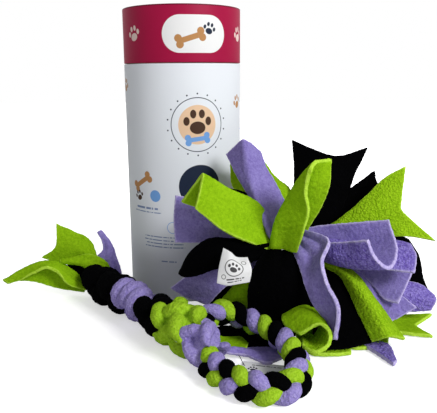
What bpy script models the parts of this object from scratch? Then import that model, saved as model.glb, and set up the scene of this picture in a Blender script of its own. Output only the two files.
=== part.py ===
"""Dog enrichment tube: a paper tube with a lift-off lid, a fleece snuffle ball and a plaited fleece tug.

Metres, +Z up. The origin is the middle of the tube's base, on the surface that everything rests on.
The front is at -Y. The ball lies at the front right, and the tug runs from the left to the front.
"""
import math
from typing import NamedTuple

import bmesh
import bpy
from mathutils import Vector

# Paper tube
TUBE_RADIUS = 0.052
TUBE_HEIGHT = 0.254
LID_HEIGHT = 0.046
OUTER_WALL = 0.0022
LINER_WALL = 0.0016
DISC_THICKNESS = 0.0022
LINER_TOP_DROP = 0.003
SEAM_GAP = 0.0006

# Clearance that every piece keeps to its neighbour
CLEARANCE = 0.0003
MERGE_DISTANCE = 0.00001

# Fleece
FLEECE_THICKNESS = 0.0026
FLEECE_GAP = 0.0008
SEAT_GAP = 0.0004
FLOOR_GAP = 0.0002
GUIDE_SHARE = 0.45
OPEN_SHARE = 0.85
FLOOR_EASE = 0.0016

# Snuffle ball, which lies against the tube on the strips' reach
BALL_BEARING = math.radians(-49.4)
BALL_STANDOFF_SHARE = 0.7707
BALL_HEIGHT_SHARE = 0.66
CORE_RADIUS = 0.0203
TIE_RADIUS = 0.001
TIE_SINK = 0.0002
STRIP_REACH = 0.100
STRIP_WIDTH = 0.050
STRIP_ROOT_SHARE = 0.2
CARE_TAG_WIDTH = 0.021
CARE_TAG_LENGTH = 0.024
CARE_TAG_THICKNESS = 0.0008
CARE_TAG_CURL = 0.0015
CARE_TAG_SHARES = (-0.41, -0.44, -0.05)
CARE_TAG_FACE = (262, 12)
CARE_TAG_LEAN = math.radians(12.0)

# Tug body, from the tassel to the loop, and the size of its knots
TUG_START_SHARES = (-1.75, 0.67)
TUG_BEARING = math.radians(-51.44)
TUG_LENGTH = 0.1765
TUG_BOW = 0.003
KNOT_RADIUS = 0.019
KNOT_GAP = 0.0006
TASSEL_REACH = 0.080
TASSEL_WIDTH = 0.044
TASSEL_ROOT_SHARE = 0.25
TAIL_REACH = 0.050
TAIL_WIDTH = 0.026
TAIL_ROOT_SHARE = 0.4

# Tug loop: three plaited strands on an oval
LOOP_PLACE_SHARES = (0.75, -0.229)
LOOP_LONG = 0.048
LOOP_SHORT = 0.029
LOOP_LIFT = 0.0145
STRAND_RADIUS = 0.0022
PLAIT_SWAY = 0.0071
PLAIT_RISE = 0.0062
LOOP_TURN = math.radians(-65.0)
LOOP_FROM = math.radians(-93.0)
LOOP_TO = math.radians(190.0)
PLAIT_PERIODS = 6
POINTS_PER_PERIOD = 13

# Paper swing tag inside the loop
SWING_TAG_PLACE_SHARES = (0.26, -0.07)
SWING_TAG_WIDTH = 0.034
SWING_TAG_LENGTH = 0.022
SWING_TAG_THICKNESS = 0.0006
SWING_TAG_TURN = math.radians(-14.0)

TUBE_SEGMENTS = 64
CORE_SEGMENTS = 36
STATIONS = 7
ACROSS = 7
KNOT_SIDES = 14
KNOT_STATIONS = 9
KNOT_END_SHARE = 0.5
PLAIT_START_SHARE = 0.25
PLAIT_END_SHARE = 0.86
UP = Vector((0.0, 0.0, 1.0))

CRIMSON = (0.47, 0.012, 0.085, 1.0)
PAPER_WHITE = (0.80, 0.83, 0.88, 1.0)
KRAFT = (0.55, 0.43, 0.30, 1.0)
LIME = (0.32, 0.58, 0.035, 1.0)
LAVENDER = (0.32, 0.22, 0.68, 1.0)
NEAR_BLACK = (0.010, 0.010, 0.012, 1.0)
CLOTH_WHITE = (0.82, 0.82, 0.82, 1.0)


class Strip(NamedTuple):
    """One fleece strip. Directions are degrees of azimuth and elevation from the hub that holds it."""

    name: str
    colour: tuple
    root: tuple
    tip: tuple
    reach_share: float
    face: tuple
    fold: float = 10.0
    crease: float = 1.0
    notch_share: float = 0.0
    width_share: float = 1.0


BALL_STRIPS = (
    Strip("strip_left_upper_lime", LIME, (212, 35), (207, 36), 0.93, (258, 72), 110, 2.5, 0.02),
    Strip("strip_top_lavender", LAVENDER, (200, 62), (152, 60), 0.86, (268, 10), 115, 5.0),
    Strip("strip_top_back_lime", LIME, (130, 60), (122, 44), 0.92, (260, 30)),
    Strip("strip_front_lime", LIME, (264, 14), (280, 52), 0.90, (205, 12), 100, 2.0, -0.05),
    Strip("strip_top_black", NEAR_BLACK, (20, 45), (40, 53), 0.88, (262, 20), 10, 1.0, 0.16),
    Strip("strip_top_right_black", NEAR_BLACK, (20, 20), (25, 30), 0.97, (300, 50), 30, 1.0, 0.05, 0.9),
    Strip("strip_right_lime", LIME, (355, 28), (0, 18), 1.02, (270, 20), 0, 1.0, 0.30, 1.05),
    Strip("strip_right_upper_lavender", LAVENDER, (325, 20), (322, 9), 0.84, (310, -75), 140, 1.3),
    Strip("strip_front_lavender", LAVENDER, (297, 25), (286, -24), 1.00, (190, 10), 20, 1.0, 0.0, 0.8),
    Strip("strip_front_black", NEAR_BLACK, (266, -5), (263, -14), 0.85, (262, 45), 50, 1.5, 0.0, 0.95),
    Strip("strip_low_right_lime", LIME, (328, -22), (330, -31), 1.10, (300, 40), 130, 2.0, 0.0, 0.85),
    Strip("strip_low_front_black", NEAR_BLACK, (305, -30), (310, -36), 0.92, (300, 40), 20, 1.0, 0.0, 0.6),
    Strip("strip_right_mid_lavender", LAVENDER, (338, 0), (336, -8), 0.92, (290, -45), 100, 1.5),
    Strip("strip_right_low_lavender", LAVENDER, (348.4, -16), (347.4, -20.4), 1.02, (290, 50), 90, 1.5,
          0.0, 0.55),
    Strip("strip_far_right_lavender", LAVENDER, (4, -12), (2, -12), 1.12, (300, 40), 100, 1.5, 0.0, 0.8),
    Strip("strip_far_right_black", NEAR_BLACK, (20, 6), (24, 6), 1.05, (280, 30), 60, 1.0, 0.0, 0.8),
    Strip("strip_floor_far_right_lime", LIME, (0, -48), (355, -30), 1.26, (270, 70), 60, 1.5, 0.1, 0.6),
    Strip("strip_floor_right_lime", LIME, (336, -48), (334, -40), 1.02, (290, 85), 10, 1.0, 0.0, 0.4),
    Strip("strip_floor_right_lavender", LAVENDER, (318, -64), (315, -35), 1.18, (290, 85), 0, 1.0, -0.2, 0.3),
    Strip("strip_rolled_lime", LIME, (280, -25), (288, -38), 0.84, (300, 60), 280, 0.5, 0.0, 0.8),
    Strip("strip_floor_front_lime", LIME, (298, -60), (302, -43), 1.00, (290, 85), 0, 1.0, 0.0, 0.25),
    Strip("strip_left_lavender", LAVENDER, (185, 20), (181, 13), 0.88, (268, 10), 0, 1.0, 0.0, 0.95),
    Strip("strip_left_black", NEAR_BLACK, (228, 8), (199, -9), 0.86, (240, 65), 100, 1.5, 0.0, 0.8),
    Strip("strip_left_low_lavender", LAVENDER, (200, -15), (186, -25), 0.90, (255, 40), 10, 1.0, 0.0, 0.9),
    Strip("strip_left_low_lime", LIME, (212, -38), (182, -40), 0.80, (250, 30), 60, 1.0, 0.0, 0.6),
    Strip("strip_left_low_black", NEAR_BLACK, (165, -35), (158, -36), 0.90, (260, 30), 30, 1.0, 0.0, 0.8),
    Strip("strip_left_upper_black", NEAR_BLACK, (165, 35), (162, 32), 0.80, (250, 60), 90, 2.0, 0.0, 0.85),
    Strip("strip_back_left_black", NEAR_BLACK, (130, 0), (122, -15), 0.70, (120, 40), 20, 1.0, 0.0, 0.8),
    Strip("strip_back_top_black", NEAR_BLACK, (75, 50), (70, 35), 0.95, (270, 45), 20, 1.0, 0.05),
    Strip("strip_back_right_lavender", LAVENDER, (50, 10), (45, 5), 1.00, (300, 60), 40, 1.0, 0.05),
    Strip("strip_back_lime", LIME, (85, 5), (80, -8), 0.95, (0, 20), 30),
    Strip("strip_back_low_lime", LIME, (60, -35), (58, -33), 1.10, (300, 70), 20),
    Strip("strip_back_low_black", NEAR_BLACK, (95, -35), (88, -33), 1.00, (300, 70), 40),
)

TASSEL_TAILS = (
    Strip("tassel_upper_lime", LIME, (140, 45), (160, 40), 0.60, (240, 10), 30, 1.0, 0.12, 0.75),
    Strip("tassel_long_lime", LIME, (185, 0), (182, -3), 0.94, (250, 75), 120, 2.0, -0.5),
    Strip("tassel_lavender", LAVENDER, (50, 40), (55, 68), 0.56, (330, 20), 80, 1.0, -0.4, 0.5),
    Strip("tassel_short_lime", LIME, (212, 52), (232, 66), 0.28, (280, 30), 20, 1.0, 0.0, 0.4),
    Strip("tassel_short_black", NEAR_BLACK, (175, 25), (178, 20), 0.42, (250, 60), 30, 1.0, 0.0, 0.4),
)

LOOP_TAILS = (
    Strip("loop_tail_lime", LIME, (12, 12), (46, -16), 0.90, (290, 80), 40, 1.0, 0.0, 0.5),
    Strip("loop_tail_lavender", LAVENDER, (350, -14), (357, -16), 1.02, (290, 80), 40, 1.0, 0.0, 0.45),
)


class Knot(NamedTuple):
    """One knotted section of the tug, from one share of its length to another."""

    name: str
    colour: tuple
    from_share: float
    to_share: float
    radius_share: float


KNOTS = (
    Knot("knot_tassel_black", NEAR_BLACK, 0.00, 0.29, 0.82),
    Knot("knot_lavender", LAVENDER, 0.29, 0.49, 0.88),
    Knot("knot_middle_black", NEAR_BLACK, 0.49, 0.62, 0.88),
    Knot("knot_lime", LIME, 0.62, 0.83, 1.00),
    Knot("knot_loop_lavender", LAVENDER, 0.83, 1.00, 0.94),
)


def clear_scene() -> None:
    """Remove every object of the opened scene."""
    for item in list(bpy.data.objects):
        bpy.data.objects.remove(item, do_unlink=True)


def parts_collection() -> bpy.types.Collection:
    """Return the collection that holds the parts."""
    collection = bpy.data.collections.new("dog_enrichment_tube")
    bpy.context.scene.collection.children.link(collection)
    return collection


def material(name: str, colour: tuple, roughness: float) -> bpy.types.Material:
    """Return a plain material with one colour and one roughness."""
    made = bpy.data.materials.new(name)
    made.use_nodes = True
    shader = made.node_tree.nodes["Principled BSDF"]
    shader.inputs["Base Color"].default_value = colour
    shader.inputs["Roughness"].default_value = roughness
    shader.inputs["Metallic"].default_value = 0.0
    return made


def add_part(parts: bpy.types.Collection, name: str, data: bpy.types.ID, colour: tuple,
             roughness: float = 0.9) -> bpy.types.Object:
    """Link a new object with its own material to the parts collection."""
    data.materials.append(material(name, colour, roughness))
    part = bpy.data.objects.new(name, data)
    parts.objects.link(part)
    return part


def mesh_from(name: str, points: list, faces: list) -> bpy.types.Mesh:
    """Return a smooth-shaded mesh of the points and faces."""
    mesh = bpy.data.meshes.new(name)
    mesh.from_pydata(points, [], faces)
    mesh.update()
    mesh.shade_smooth()
    mesh.set_sharp_from_angle(angle=math.radians(40.0))
    return mesh


def turned(parts: bpy.types.Collection, name: str, profile: list, colour: tuple, roughness: float,
           segments: int) -> bpy.types.Object:
    """Make a solid of revolution from a profile of (radius, height), closed unless it ends on the axis."""
    edges = [(index, index + 1) for index in range(len(profile) - 1)]
    if profile[0][0] > 0.0:
        edges.append((len(profile) - 1, 0))
    mesh = bpy.data.meshes.new(name)
    mesh.from_pydata([(radius, 0.0, height) for radius, height in profile], edges, [])
    part = add_part(parts, name, mesh, colour, roughness)
    screw = part.modifiers.new("turn", "SCREW")
    screw.steps = segments
    screw.render_steps = segments
    screw.use_merge_vertices = True
    screw.merge_threshold = MERGE_DISTANCE
    screw.use_smooth_shade = True
    return part


def turned_ring(parts: bpy.types.Collection, name: str, outer: float, inner: float, low: float,
                high: float, colour: tuple, roughness: float) -> None:
    """Make a wall of revolution between two radii and two heights, or a disc if inner is zero."""
    profile = [(outer, high), (outer, low), (inner, low), (inner, high)]
    if inner == 0.0:
        profile = [(0.0, high), (outer, high), (outer, low), (0.0, low)]
    turned(parts, name, profile, colour, roughness, TUBE_SEGMENTS)


def make_tube(parts: bpy.types.Collection) -> None:
    """Make the paper tube: outer wall, inner liner, base disc, lid wall and lid disc."""
    lid_low = TUBE_HEIGHT - LID_HEIGHT
    inner = TUBE_RADIUS - OUTER_WALL
    liner = inner - CLEARANCE
    turned_ring(parts, "tube_body", TUBE_RADIUS, inner, 0.0, lid_low - SEAM_GAP, PAPER_WHITE, 0.5)
    turned_ring(parts, "base_disc", liner, 0.0, 0.0, DISC_THICKNESS, KRAFT, 0.8)
    disc_low = TUBE_HEIGHT - DISC_THICKNESS
    turned_ring(parts, "neck_liner", liner, liner - LINER_WALL, DISC_THICKNESS + CLEARANCE,
                disc_low - LINER_TOP_DROP, KRAFT, 0.8)
    turned_ring(parts, "lid_wall", TUBE_RADIUS, inner, lid_low, TUBE_HEIGHT, CRIMSON, 0.4)
    turned_ring(parts, "lid_disc", liner, 0.0, disc_low, TUBE_HEIGHT, CRIMSON, 0.4)


def aim(direction: tuple) -> Vector:
    """Return the unit vector of an azimuth and an elevation in degrees."""
    azimuth, elevation = (math.radians(angle) for angle in direction)
    flat = math.cos(elevation)
    return Vector((math.cos(azimuth) * flat, math.sin(azimuth) * flat, math.sin(elevation)))


def ease(share: float) -> float:
    """Return a smooth step from 0 to 1."""
    held = min(max(share, 0.0), 1.0)
    return held * held * (3.0 - 2.0 * held)


def section(width: float, fold: float, crease: float) -> list:
    """Return points across a strip that is bent lengthwise by the fold, its arms falling off its face."""
    fine = 4
    steps = fine * (ACROSS - 1)
    across, drop = [0.0], [0.0]
    for step in range(steps):
        place = 2.0 * (step + 0.5) / steps - 1.0
        angle = -math.radians(fold) / 2.0 * math.tanh(crease * place) / math.tanh(crease)
        across.append(across[-1] + math.cos(angle) * width / steps)
        drop.append(drop[-1] + math.sin(angle) * width / steps)
    middle = steps // 2
    return [(across[i] - across[middle], drop[i] - drop[middle]) for i in range(0, steps + 1, fine)]


def clear_of_floor(height: float) -> float:
    """Return the height that a fleece point takes, which never goes under the floor's clearance."""
    low = FLOOR_GAP + FLEECE_THICKNESS / 2.0
    return low + FLOOR_EASE * math.log1p(math.exp((height - low) / FLOOR_EASE))


def strip_grid(strip: Strip, hub: Vector, root_radius: float, reach: float, width: float,
               root_share: float) -> list:
    """Return rows of mid-surface points of a strip, from its pinched root at the hub to its cut end."""
    start = hub + aim(strip.root) * root_radius
    tip = hub + aim(strip.tip) * (reach * strip.reach_share)
    guide = start + aim(strip.root) * ((tip - start).length * GUIDE_SHARE)
    face = aim(strip.face)
    rows = []
    for station in range(STATIONS):
        share = station / (STATIONS - 1)
        rest = 1.0 - share
        centre = start * rest * rest + guide * (2.0 * share * rest) + tip * share * share
        along = ((guide - start) * rest + (tip - guide) * share).normalized()
        normal = (face - along * face.dot(along)).normalized()
        side = along.cross(normal)
        open_share = root_share + (1.0 - root_share) * ease(share / OPEN_SHARE)
        fold = strip.fold * (0.3 + 0.7 * ease(share / 0.5))
        row = []
        points = section(width * strip.width_share * open_share, fold, strip.crease)
        for index, (across, drop) in enumerate(points):
            place = abs(2.0 * index / (ACROSS - 1) - 1.0)
            longer = strip.notch_share * width * (place ** 1.6 - 0.4) * ease((share - 0.3) / 0.7)
            point = centre + side * across + normal * drop + along * longer
            point.z = clear_of_floor(point.z)
            out = point - hub
            row.append(hub + out * max(1.0, root_radius / out.length))
        rows.append(row)
    return rows


def sheet_part(parts: bpy.types.Collection, name: str, rows: list, thickness: float,
               colour: tuple) -> None:
    """Make a closed sheet from rows of mid-surface points."""
    wide = len(rows[0])
    faces = [(row * wide + col, row * wide + col + 1, (row + 1) * wide + col + 1, (row + 1) * wide + col)
             for row in range(len(rows) - 1) for col in range(wide - 1)]
    part = add_part(parts, name, mesh_from(name, [point for row in rows for point in row], faces), colour)
    solid = part.modifiers.new("thickness", "SOLIDIFY")
    solid.thickness = thickness
    solid.offset = 0.0


def ball_hub() -> Vector:
    """Return the ball's middle."""
    distance = TUBE_RADIUS + STRIP_REACH * BALL_STANDOFF_SHARE
    return Vector((math.cos(BALL_BEARING) * distance, math.sin(BALL_BEARING) * distance,
                   STRIP_REACH * BALL_HEIGHT_SHARE))


def make_care_tag(parts: bpy.types.Collection) -> None:
    """Make the small cloth tag that is sewn to the ball's left black strip."""
    centre = ball_hub() + Vector(CARE_TAG_SHARES) * STRIP_REACH
    normal = aim(CARE_TAG_FACE)
    level = Vector((-normal.y, normal.x, 0.0)).normalized()
    upright = normal.cross(level)
    side = level * math.cos(CARE_TAG_LEAN) + upright * math.sin(CARE_TAG_LEAN)
    rise = upright * math.cos(CARE_TAG_LEAN) - level * math.sin(CARE_TAG_LEAN)
    places = (-0.5, 0.0, 0.5)
    rows = [[centre + side * (CARE_TAG_WIDTH * wide) + rise * (CARE_TAG_LENGTH * tall)
             - normal * (CARE_TAG_CURL * 4.0 * wide * wide) for wide in places] for tall in places]
    sheet_part(parts, "care_tag", rows, CARE_TAG_THICKNESS, CLOTH_WHITE)


def make_ball(parts: bpy.types.Collection) -> None:
    """Make the snuffle ball: core knot, tie, strips and care tag."""
    hub = ball_hub()
    groove_high = TIE_RADIUS + CLEARANCE
    groove_floor = CORE_RADIUS - TIE_SINK - 2.0 * TIE_RADIUS - CLEARANCE
    rings = [(CORE_RADIUS * math.cos(angle), CORE_RADIUS * math.sin(angle))
             for angle in (math.radians(90.0 - 12.0 * step) for step in range(1, 7))]
    rings.append((math.sqrt(CORE_RADIUS ** 2 - groove_high ** 2), groove_high))
    rings.append((groove_floor, groove_high))
    profile = [(0.0, CORE_RADIUS), *rings, *((radius, -high) for radius, high in reversed(rings)),
               (0.0, -CORE_RADIUS)]
    core = turned(parts, "ball_core", profile, NEAR_BLACK, 0.9, CORE_SEGMENTS)
    core.location = hub
    bpy.ops.mesh.primitive_torus_add(major_radius=CORE_RADIUS - TIE_SINK - TIE_RADIUS,
                                     minor_radius=TIE_RADIUS, major_segments=CORE_SEGMENTS,
                                     minor_segments=6, location=hub)
    tie = bpy.context.object
    tie.name = "ball_tie"
    tie.data.materials.append(material("ball_tie", CLOTH_WHITE, 0.7))
    for holder in list(tie.users_collection):
        holder.objects.unlink(tie)
    parts.objects.link(tie)
    for strip in BALL_STRIPS:
        rows = strip_grid(strip, hub, CORE_RADIUS + FLEECE_GAP, STRIP_REACH, STRIP_WIDTH, STRIP_ROOT_SHARE)
        sheet_part(parts, strip.name, rows, FLEECE_THICKNESS, strip.colour)
    make_care_tag(parts)


def tug_point(share: float) -> Vector:
    """Return the plan point of the tug's centreline at a share of its knotted length."""
    start = ball_hub() + Vector((*TUG_START_SHARES, -BALL_HEIGHT_SHARE)) * STRIP_REACH
    run = Vector((math.cos(TUG_BEARING), math.sin(TUG_BEARING), 0.0)) * TUG_LENGTH
    aside = Vector((-run.y, run.x, 0.0)).normalized()
    return start + run * share + aside * (TUG_BOW * math.sin(math.pi * share))


def end_radius(knot: Knot) -> float:
    """Return the radius of a knot's two ends."""
    return KNOT_RADIUS * knot.radius_share * KNOT_END_SHARE


def knot_hub(knot: Knot, share: float) -> Vector:
    """Return the point of the knots' axis at a share of the tug, at the height of one knot."""
    return tug_point(share) + Vector((0.0, 0.0, KNOT_RADIUS * knot.radius_share + FLEECE_GAP))


def domed(centre: Vector, outward: Vector, radius: float) -> list:
    """Return rings that close an end with a dome, from its foot to its top."""
    return [(centre + outward * (radius * math.sin(angle)), radius * math.cos(angle))
            for angle in (math.radians(25.0), math.radians(50.0), math.radians(75.0))]


def make_knot(parts: bpy.types.Collection, knot: Knot) -> None:
    """Make one knotted section as a swelling form; the tug's two outer ends are domed."""
    length = (tug_point(knot.to_share) - tug_point(knot.from_share)).length
    trim = KNOT_GAP / 2.0 / length
    rings = []
    for station in range(KNOT_STATIONS):
        share = station / (KNOT_STATIONS - 1)
        place = knot.from_share + (knot.to_share - knot.from_share) * (trim + (1.0 - 2.0 * trim) * share)
        swell = (1.0 - (1.0 - KNOT_END_SHARE ** 2.0) * abs(2.0 * share - 1.0) ** 3.0) ** 0.5
        rings.append((knot_hub(knot, place), KNOT_RADIUS * knot.radius_share * swell))
    along = (rings[-1][0] - rings[0][0]).normalized()
    if knot is KNOTS[0]:
        rings = list(reversed(domed(rings[0][0], -along, end_radius(knot)))) + rings
    if knot is KNOTS[-1]:
        rings += domed(rings[-1][0], along, end_radius(knot))
    side = Vector((along.y, -along.x, 0.0))
    points, faces = [], []
    for centre, radius in rings:
        for turn in range(KNOT_SIDES):
            angle = 2.0 * math.pi * turn / KNOT_SIDES
            points.append(centre + (side * math.cos(angle) + UP * math.sin(angle)) * radius)
    for station in range(len(rings) - 1):
        for turn in range(KNOT_SIDES):
            after = (turn + 1) % KNOT_SIDES
            low, high = station * KNOT_SIDES, (station + 1) * KNOT_SIDES
            faces.append((low + turn, high + turn, high + after, low + after))
    faces.append(tuple(range(KNOT_SIDES)))
    faces.append(tuple(reversed(range((len(rings) - 1) * KNOT_SIDES, len(rings) * KNOT_SIDES))))
    add_part(parts, knot.name, mesh_from(knot.name, points, faces), knot.colour)


def loop_centre() -> Vector:
    """Return the middle of the loop's oval on the floor."""
    return tug_point(1.0) + Vector((*LOOP_PLACE_SHARES, 0.0)) * LOOP_LONG


def loop_frame(turn: float) -> tuple:
    """Return the loop's centre point and its outward direction at an angle round its oval."""
    long_way = Vector((math.cos(LOOP_TURN), math.sin(LOOP_TURN), 0.0))
    short_way = Vector((-long_way.y, long_way.x, 0.0))
    low = STRAND_RADIUS + PLAIT_RISE + FLEECE_GAP
    lifted = LOOP_LIFT * ease((turn - math.radians(60.0)) / math.radians(120.0))
    centre = loop_centre() + UP * (low + lifted)
    centre += long_way * (LOOP_LONG * math.cos(turn)) + short_way * (LOOP_SHORT * math.sin(turn))
    outward = (long_way * (LOOP_SHORT * math.cos(turn)) + short_way * (LOOP_LONG * math.sin(turn)))
    return centre, outward.normalized()


def loop_turns(count: int) -> list:
    """Return angles round the oval at even steps of its length."""
    fine = 720
    turns = [LOOP_FROM + (LOOP_TO - LOOP_FROM) * i / fine for i in range(fine + 1)]
    places = [loop_frame(turn)[0] for turn in turns]
    lengths = [0.0]
    for before, after in zip(places, places[1:]):
        lengths.append(lengths[-1] + (after - before).length)
    picked, at = [], 0
    for step in range(count):
        wanted = lengths[-1] * step / (count - 1)
        while at < fine - 1 and lengths[at + 1] < wanted:
            at += 1
        part = (wanted - lengths[at]) / (lengths[at + 1] - lengths[at])
        picked.append(turns[at] + (turns[at + 1] - turns[at]) * part)
    return picked


def seat_on_dome(first: Vector, lead: Vector) -> Vector:
    """Return where a strand that starts at the first point meets the last knot's dome."""
    hub = knot_hub(KNOTS[-1], 1.0)
    seat = end_radius(KNOTS[-1]) + STRAND_RADIUS
    centre = (lead - hub).normalized() * seat
    return hub + (centre + (first - lead)).normalized() * seat


def seat_on_side(last: Vector) -> Vector:
    """Return where a strand that ends at the last point meets the side of the last knot."""
    knot = KNOTS[-1]
    hub = knot_hub(knot, knot.to_share)
    along = (hub - knot_hub(knot, knot.from_share)).normalized()
    foot = hub + along * (last - hub).dot(along)
    return foot + (last - foot).normalized() * (KNOT_RADIUS * knot.radius_share + SEAT_GAP)


def make_strand(parts: bpy.types.Collection, name: str, colour: tuple, phase: float) -> None:
    """Make one plaited strand of the loop."""
    count = PLAIT_PERIODS * POINTS_PER_PERIOD + 1
    turns = loop_turns(count)
    points = []
    for index, turn in enumerate(turns):
        angle = 2.0 * math.pi * (index / POINTS_PER_PERIOD + PLAIT_START_SHARE) + phase
        centre, outward = loop_frame(turn)
        near = min(index, count - 1 - index) / POINTS_PER_PERIOD
        spread = PLAIT_END_SHARE + (1.0 - PLAIT_END_SHARE) * ease(near / 0.4)
        rise = UP * (PLAIT_RISE * math.sin(2.0 * angle))
        points.append(centre + (outward * (PLAIT_SWAY * math.sin(angle)) + rise) * spread)
    points.insert(0, seat_on_dome(points[0], loop_frame(turns[0])[0]))
    points.append(seat_on_side(points[-1]))
    curve = bpy.data.curves.new(name, "CURVE")
    curve.dimensions = "3D"
    curve.bevel_depth = STRAND_RADIUS
    curve.bevel_resolution = 1
    curve.use_fill_caps = True
    line = curve.splines.new("POLY")
    line.points.add(len(points) - 1)
    for point, place in zip(line.points, points):
        point.co = (*place, 1.0)
    add_part(parts, name, curve, colour)


def make_swing_tag(parts: bpy.types.Collection) -> None:
    """Make the paper swing tag that lies inside the loop."""
    mesh = bpy.data.meshes.new("swing_tag")
    card = bmesh.new()
    bmesh.ops.create_cube(card, size=1.0)
    bmesh.ops.scale(card, vec=(SWING_TAG_WIDTH, SWING_TAG_LENGTH, SWING_TAG_THICKNESS), verts=card.verts)
    card.to_mesh(mesh)
    card.free()
    tag = add_part(parts, "swing_tag", mesh, CLOTH_WHITE, 0.6)
    place = loop_centre() + Vector((*SWING_TAG_PLACE_SHARES, 0.0)) * LOOP_SHORT
    tag.location = place + UP * (FLEECE_GAP + SWING_TAG_THICKNESS / 2.0)
    tag.rotation_euler = (0.0, 0.0, SWING_TAG_TURN)


def make_tug(parts: bpy.types.Collection) -> None:
    """Make the tug: tassel tails, knotted sections, plaited loop, loop tails and swing tag."""
    for knot in KNOTS:
        make_knot(parts, knot)
    hub = knot_hub(KNOTS[0], 0.0)
    for strip in TASSEL_TAILS:
        rows = strip_grid(strip, hub, end_radius(KNOTS[0]) + SEAT_GAP, TASSEL_REACH, TASSEL_WIDTH,
                          TASSEL_ROOT_SHARE)
        sheet_part(parts, strip.name, rows, FLEECE_THICKNESS, strip.colour)
    for index, (name, colour) in enumerate((("loop_strand_lime", LIME),
                                            ("loop_strand_black", NEAR_BLACK),
                                            ("loop_strand_lavender", LAVENDER))):
        make_strand(parts, name, colour, 2.0 * math.pi * index / 3.0)
    last = knot_hub(KNOTS[-1], 1.0)
    for strip in LOOP_TAILS:
        rows = strip_grid(strip, last, end_radius(KNOTS[-1]) + SEAT_GAP, TAIL_REACH, TAIL_WIDTH,
                          TAIL_ROOT_SHARE)
        sheet_part(parts, strip.name, rows, FLEECE_THICKNESS, strip.colour)
    make_swing_tag(parts)


def main() -> None:
    """Build the whole part."""
    clear_scene()
    parts = parts_collection()
    make_tube(parts)
    make_ball(parts)
    make_tug(parts)


main()
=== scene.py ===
"""Looks of the dog enrichment tube: printed paper tube and lid, fleece snuffle ball and fleece tug.

Metres, +Z up, front at -Y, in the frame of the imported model.
"""
import logging
import math
from collections.abc import Callable, Iterable
from dataclasses import dataclass, replace
from enum import Enum

import bmesh
import bpy
import numpy as np
from mathutils import Matrix, Vector, noise


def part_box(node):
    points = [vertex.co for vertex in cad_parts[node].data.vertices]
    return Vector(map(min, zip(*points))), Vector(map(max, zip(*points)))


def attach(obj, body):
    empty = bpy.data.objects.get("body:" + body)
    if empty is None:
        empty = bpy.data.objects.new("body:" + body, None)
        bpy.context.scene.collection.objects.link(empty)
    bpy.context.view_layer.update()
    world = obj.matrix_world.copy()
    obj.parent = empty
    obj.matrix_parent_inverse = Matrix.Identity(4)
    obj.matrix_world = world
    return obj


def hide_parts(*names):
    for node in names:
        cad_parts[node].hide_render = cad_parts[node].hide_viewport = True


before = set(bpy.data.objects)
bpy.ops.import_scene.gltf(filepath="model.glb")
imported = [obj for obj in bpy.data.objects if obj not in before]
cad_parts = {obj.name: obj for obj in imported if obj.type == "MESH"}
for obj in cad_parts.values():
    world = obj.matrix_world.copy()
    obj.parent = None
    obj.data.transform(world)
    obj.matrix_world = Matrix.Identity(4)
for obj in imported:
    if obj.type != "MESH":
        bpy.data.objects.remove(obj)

LOG = logging.getLogger("enrichment_tube")
UP = Vector((0.0, 0.0, 1.0))
Colour = tuple[float, float, float]
Pair = tuple[float, float]
Triple = tuple[float, float, float]
FULL_TURN = 2.0 * math.pi
WHITE = (1.0, 1.0, 1.0, 1.0)
CORNER_SHARE = 0.45
FINE_PACE = 2.7
FINE_SHARE = 0.5


def arithmetic(operation: str, flipped: bool = False) -> Callable[..., "Wire"]:
    """Return a method of Wire that adds one step of arithmetic to its graph.

    Args:
        operation: The Math node's operation.
        flipped: Whether the wire comes after the other term.

    Returns:
        The method.
    """

    def work(wire: "Wire", *others: "Wire | float") -> "Wire":
        """Return the result of the step."""
        return wire.graph.sum(operation, *((*others, wire) if flipped else (wire, *others)))

    return work


class Wire:
    """One output of a node, which can be summed with others and with numbers."""

    def __init__(self, graph: "Graph", socket: bpy.types.NodeSocket | None) -> None:
        """Keep the graph and the socket."""
        self.graph = graph
        self.socket = socket

    __add__ = arithmetic("ADD")
    __radd__ = arithmetic("ADD", flipped=True)
    __sub__ = arithmetic("SUBTRACT")
    __rsub__ = arithmetic("SUBTRACT", flipped=True)
    __mul__ = arithmetic("MULTIPLY")
    __rmul__ = arithmetic("MULTIPLY", flipped=True)
    __truediv__ = arithmetic("DIVIDE")
    __gt__ = arithmetic("GREATER_THAN")
    __abs__ = arithmetic("ABSOLUTE")
    most = arithmetic("MAXIMUM")
    least = arithmetic("MINIMUM")

    def held(self) -> "Wire":
        """Return this held between 0 and 1."""
        return self.most(0.0).least(1.0)


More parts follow.
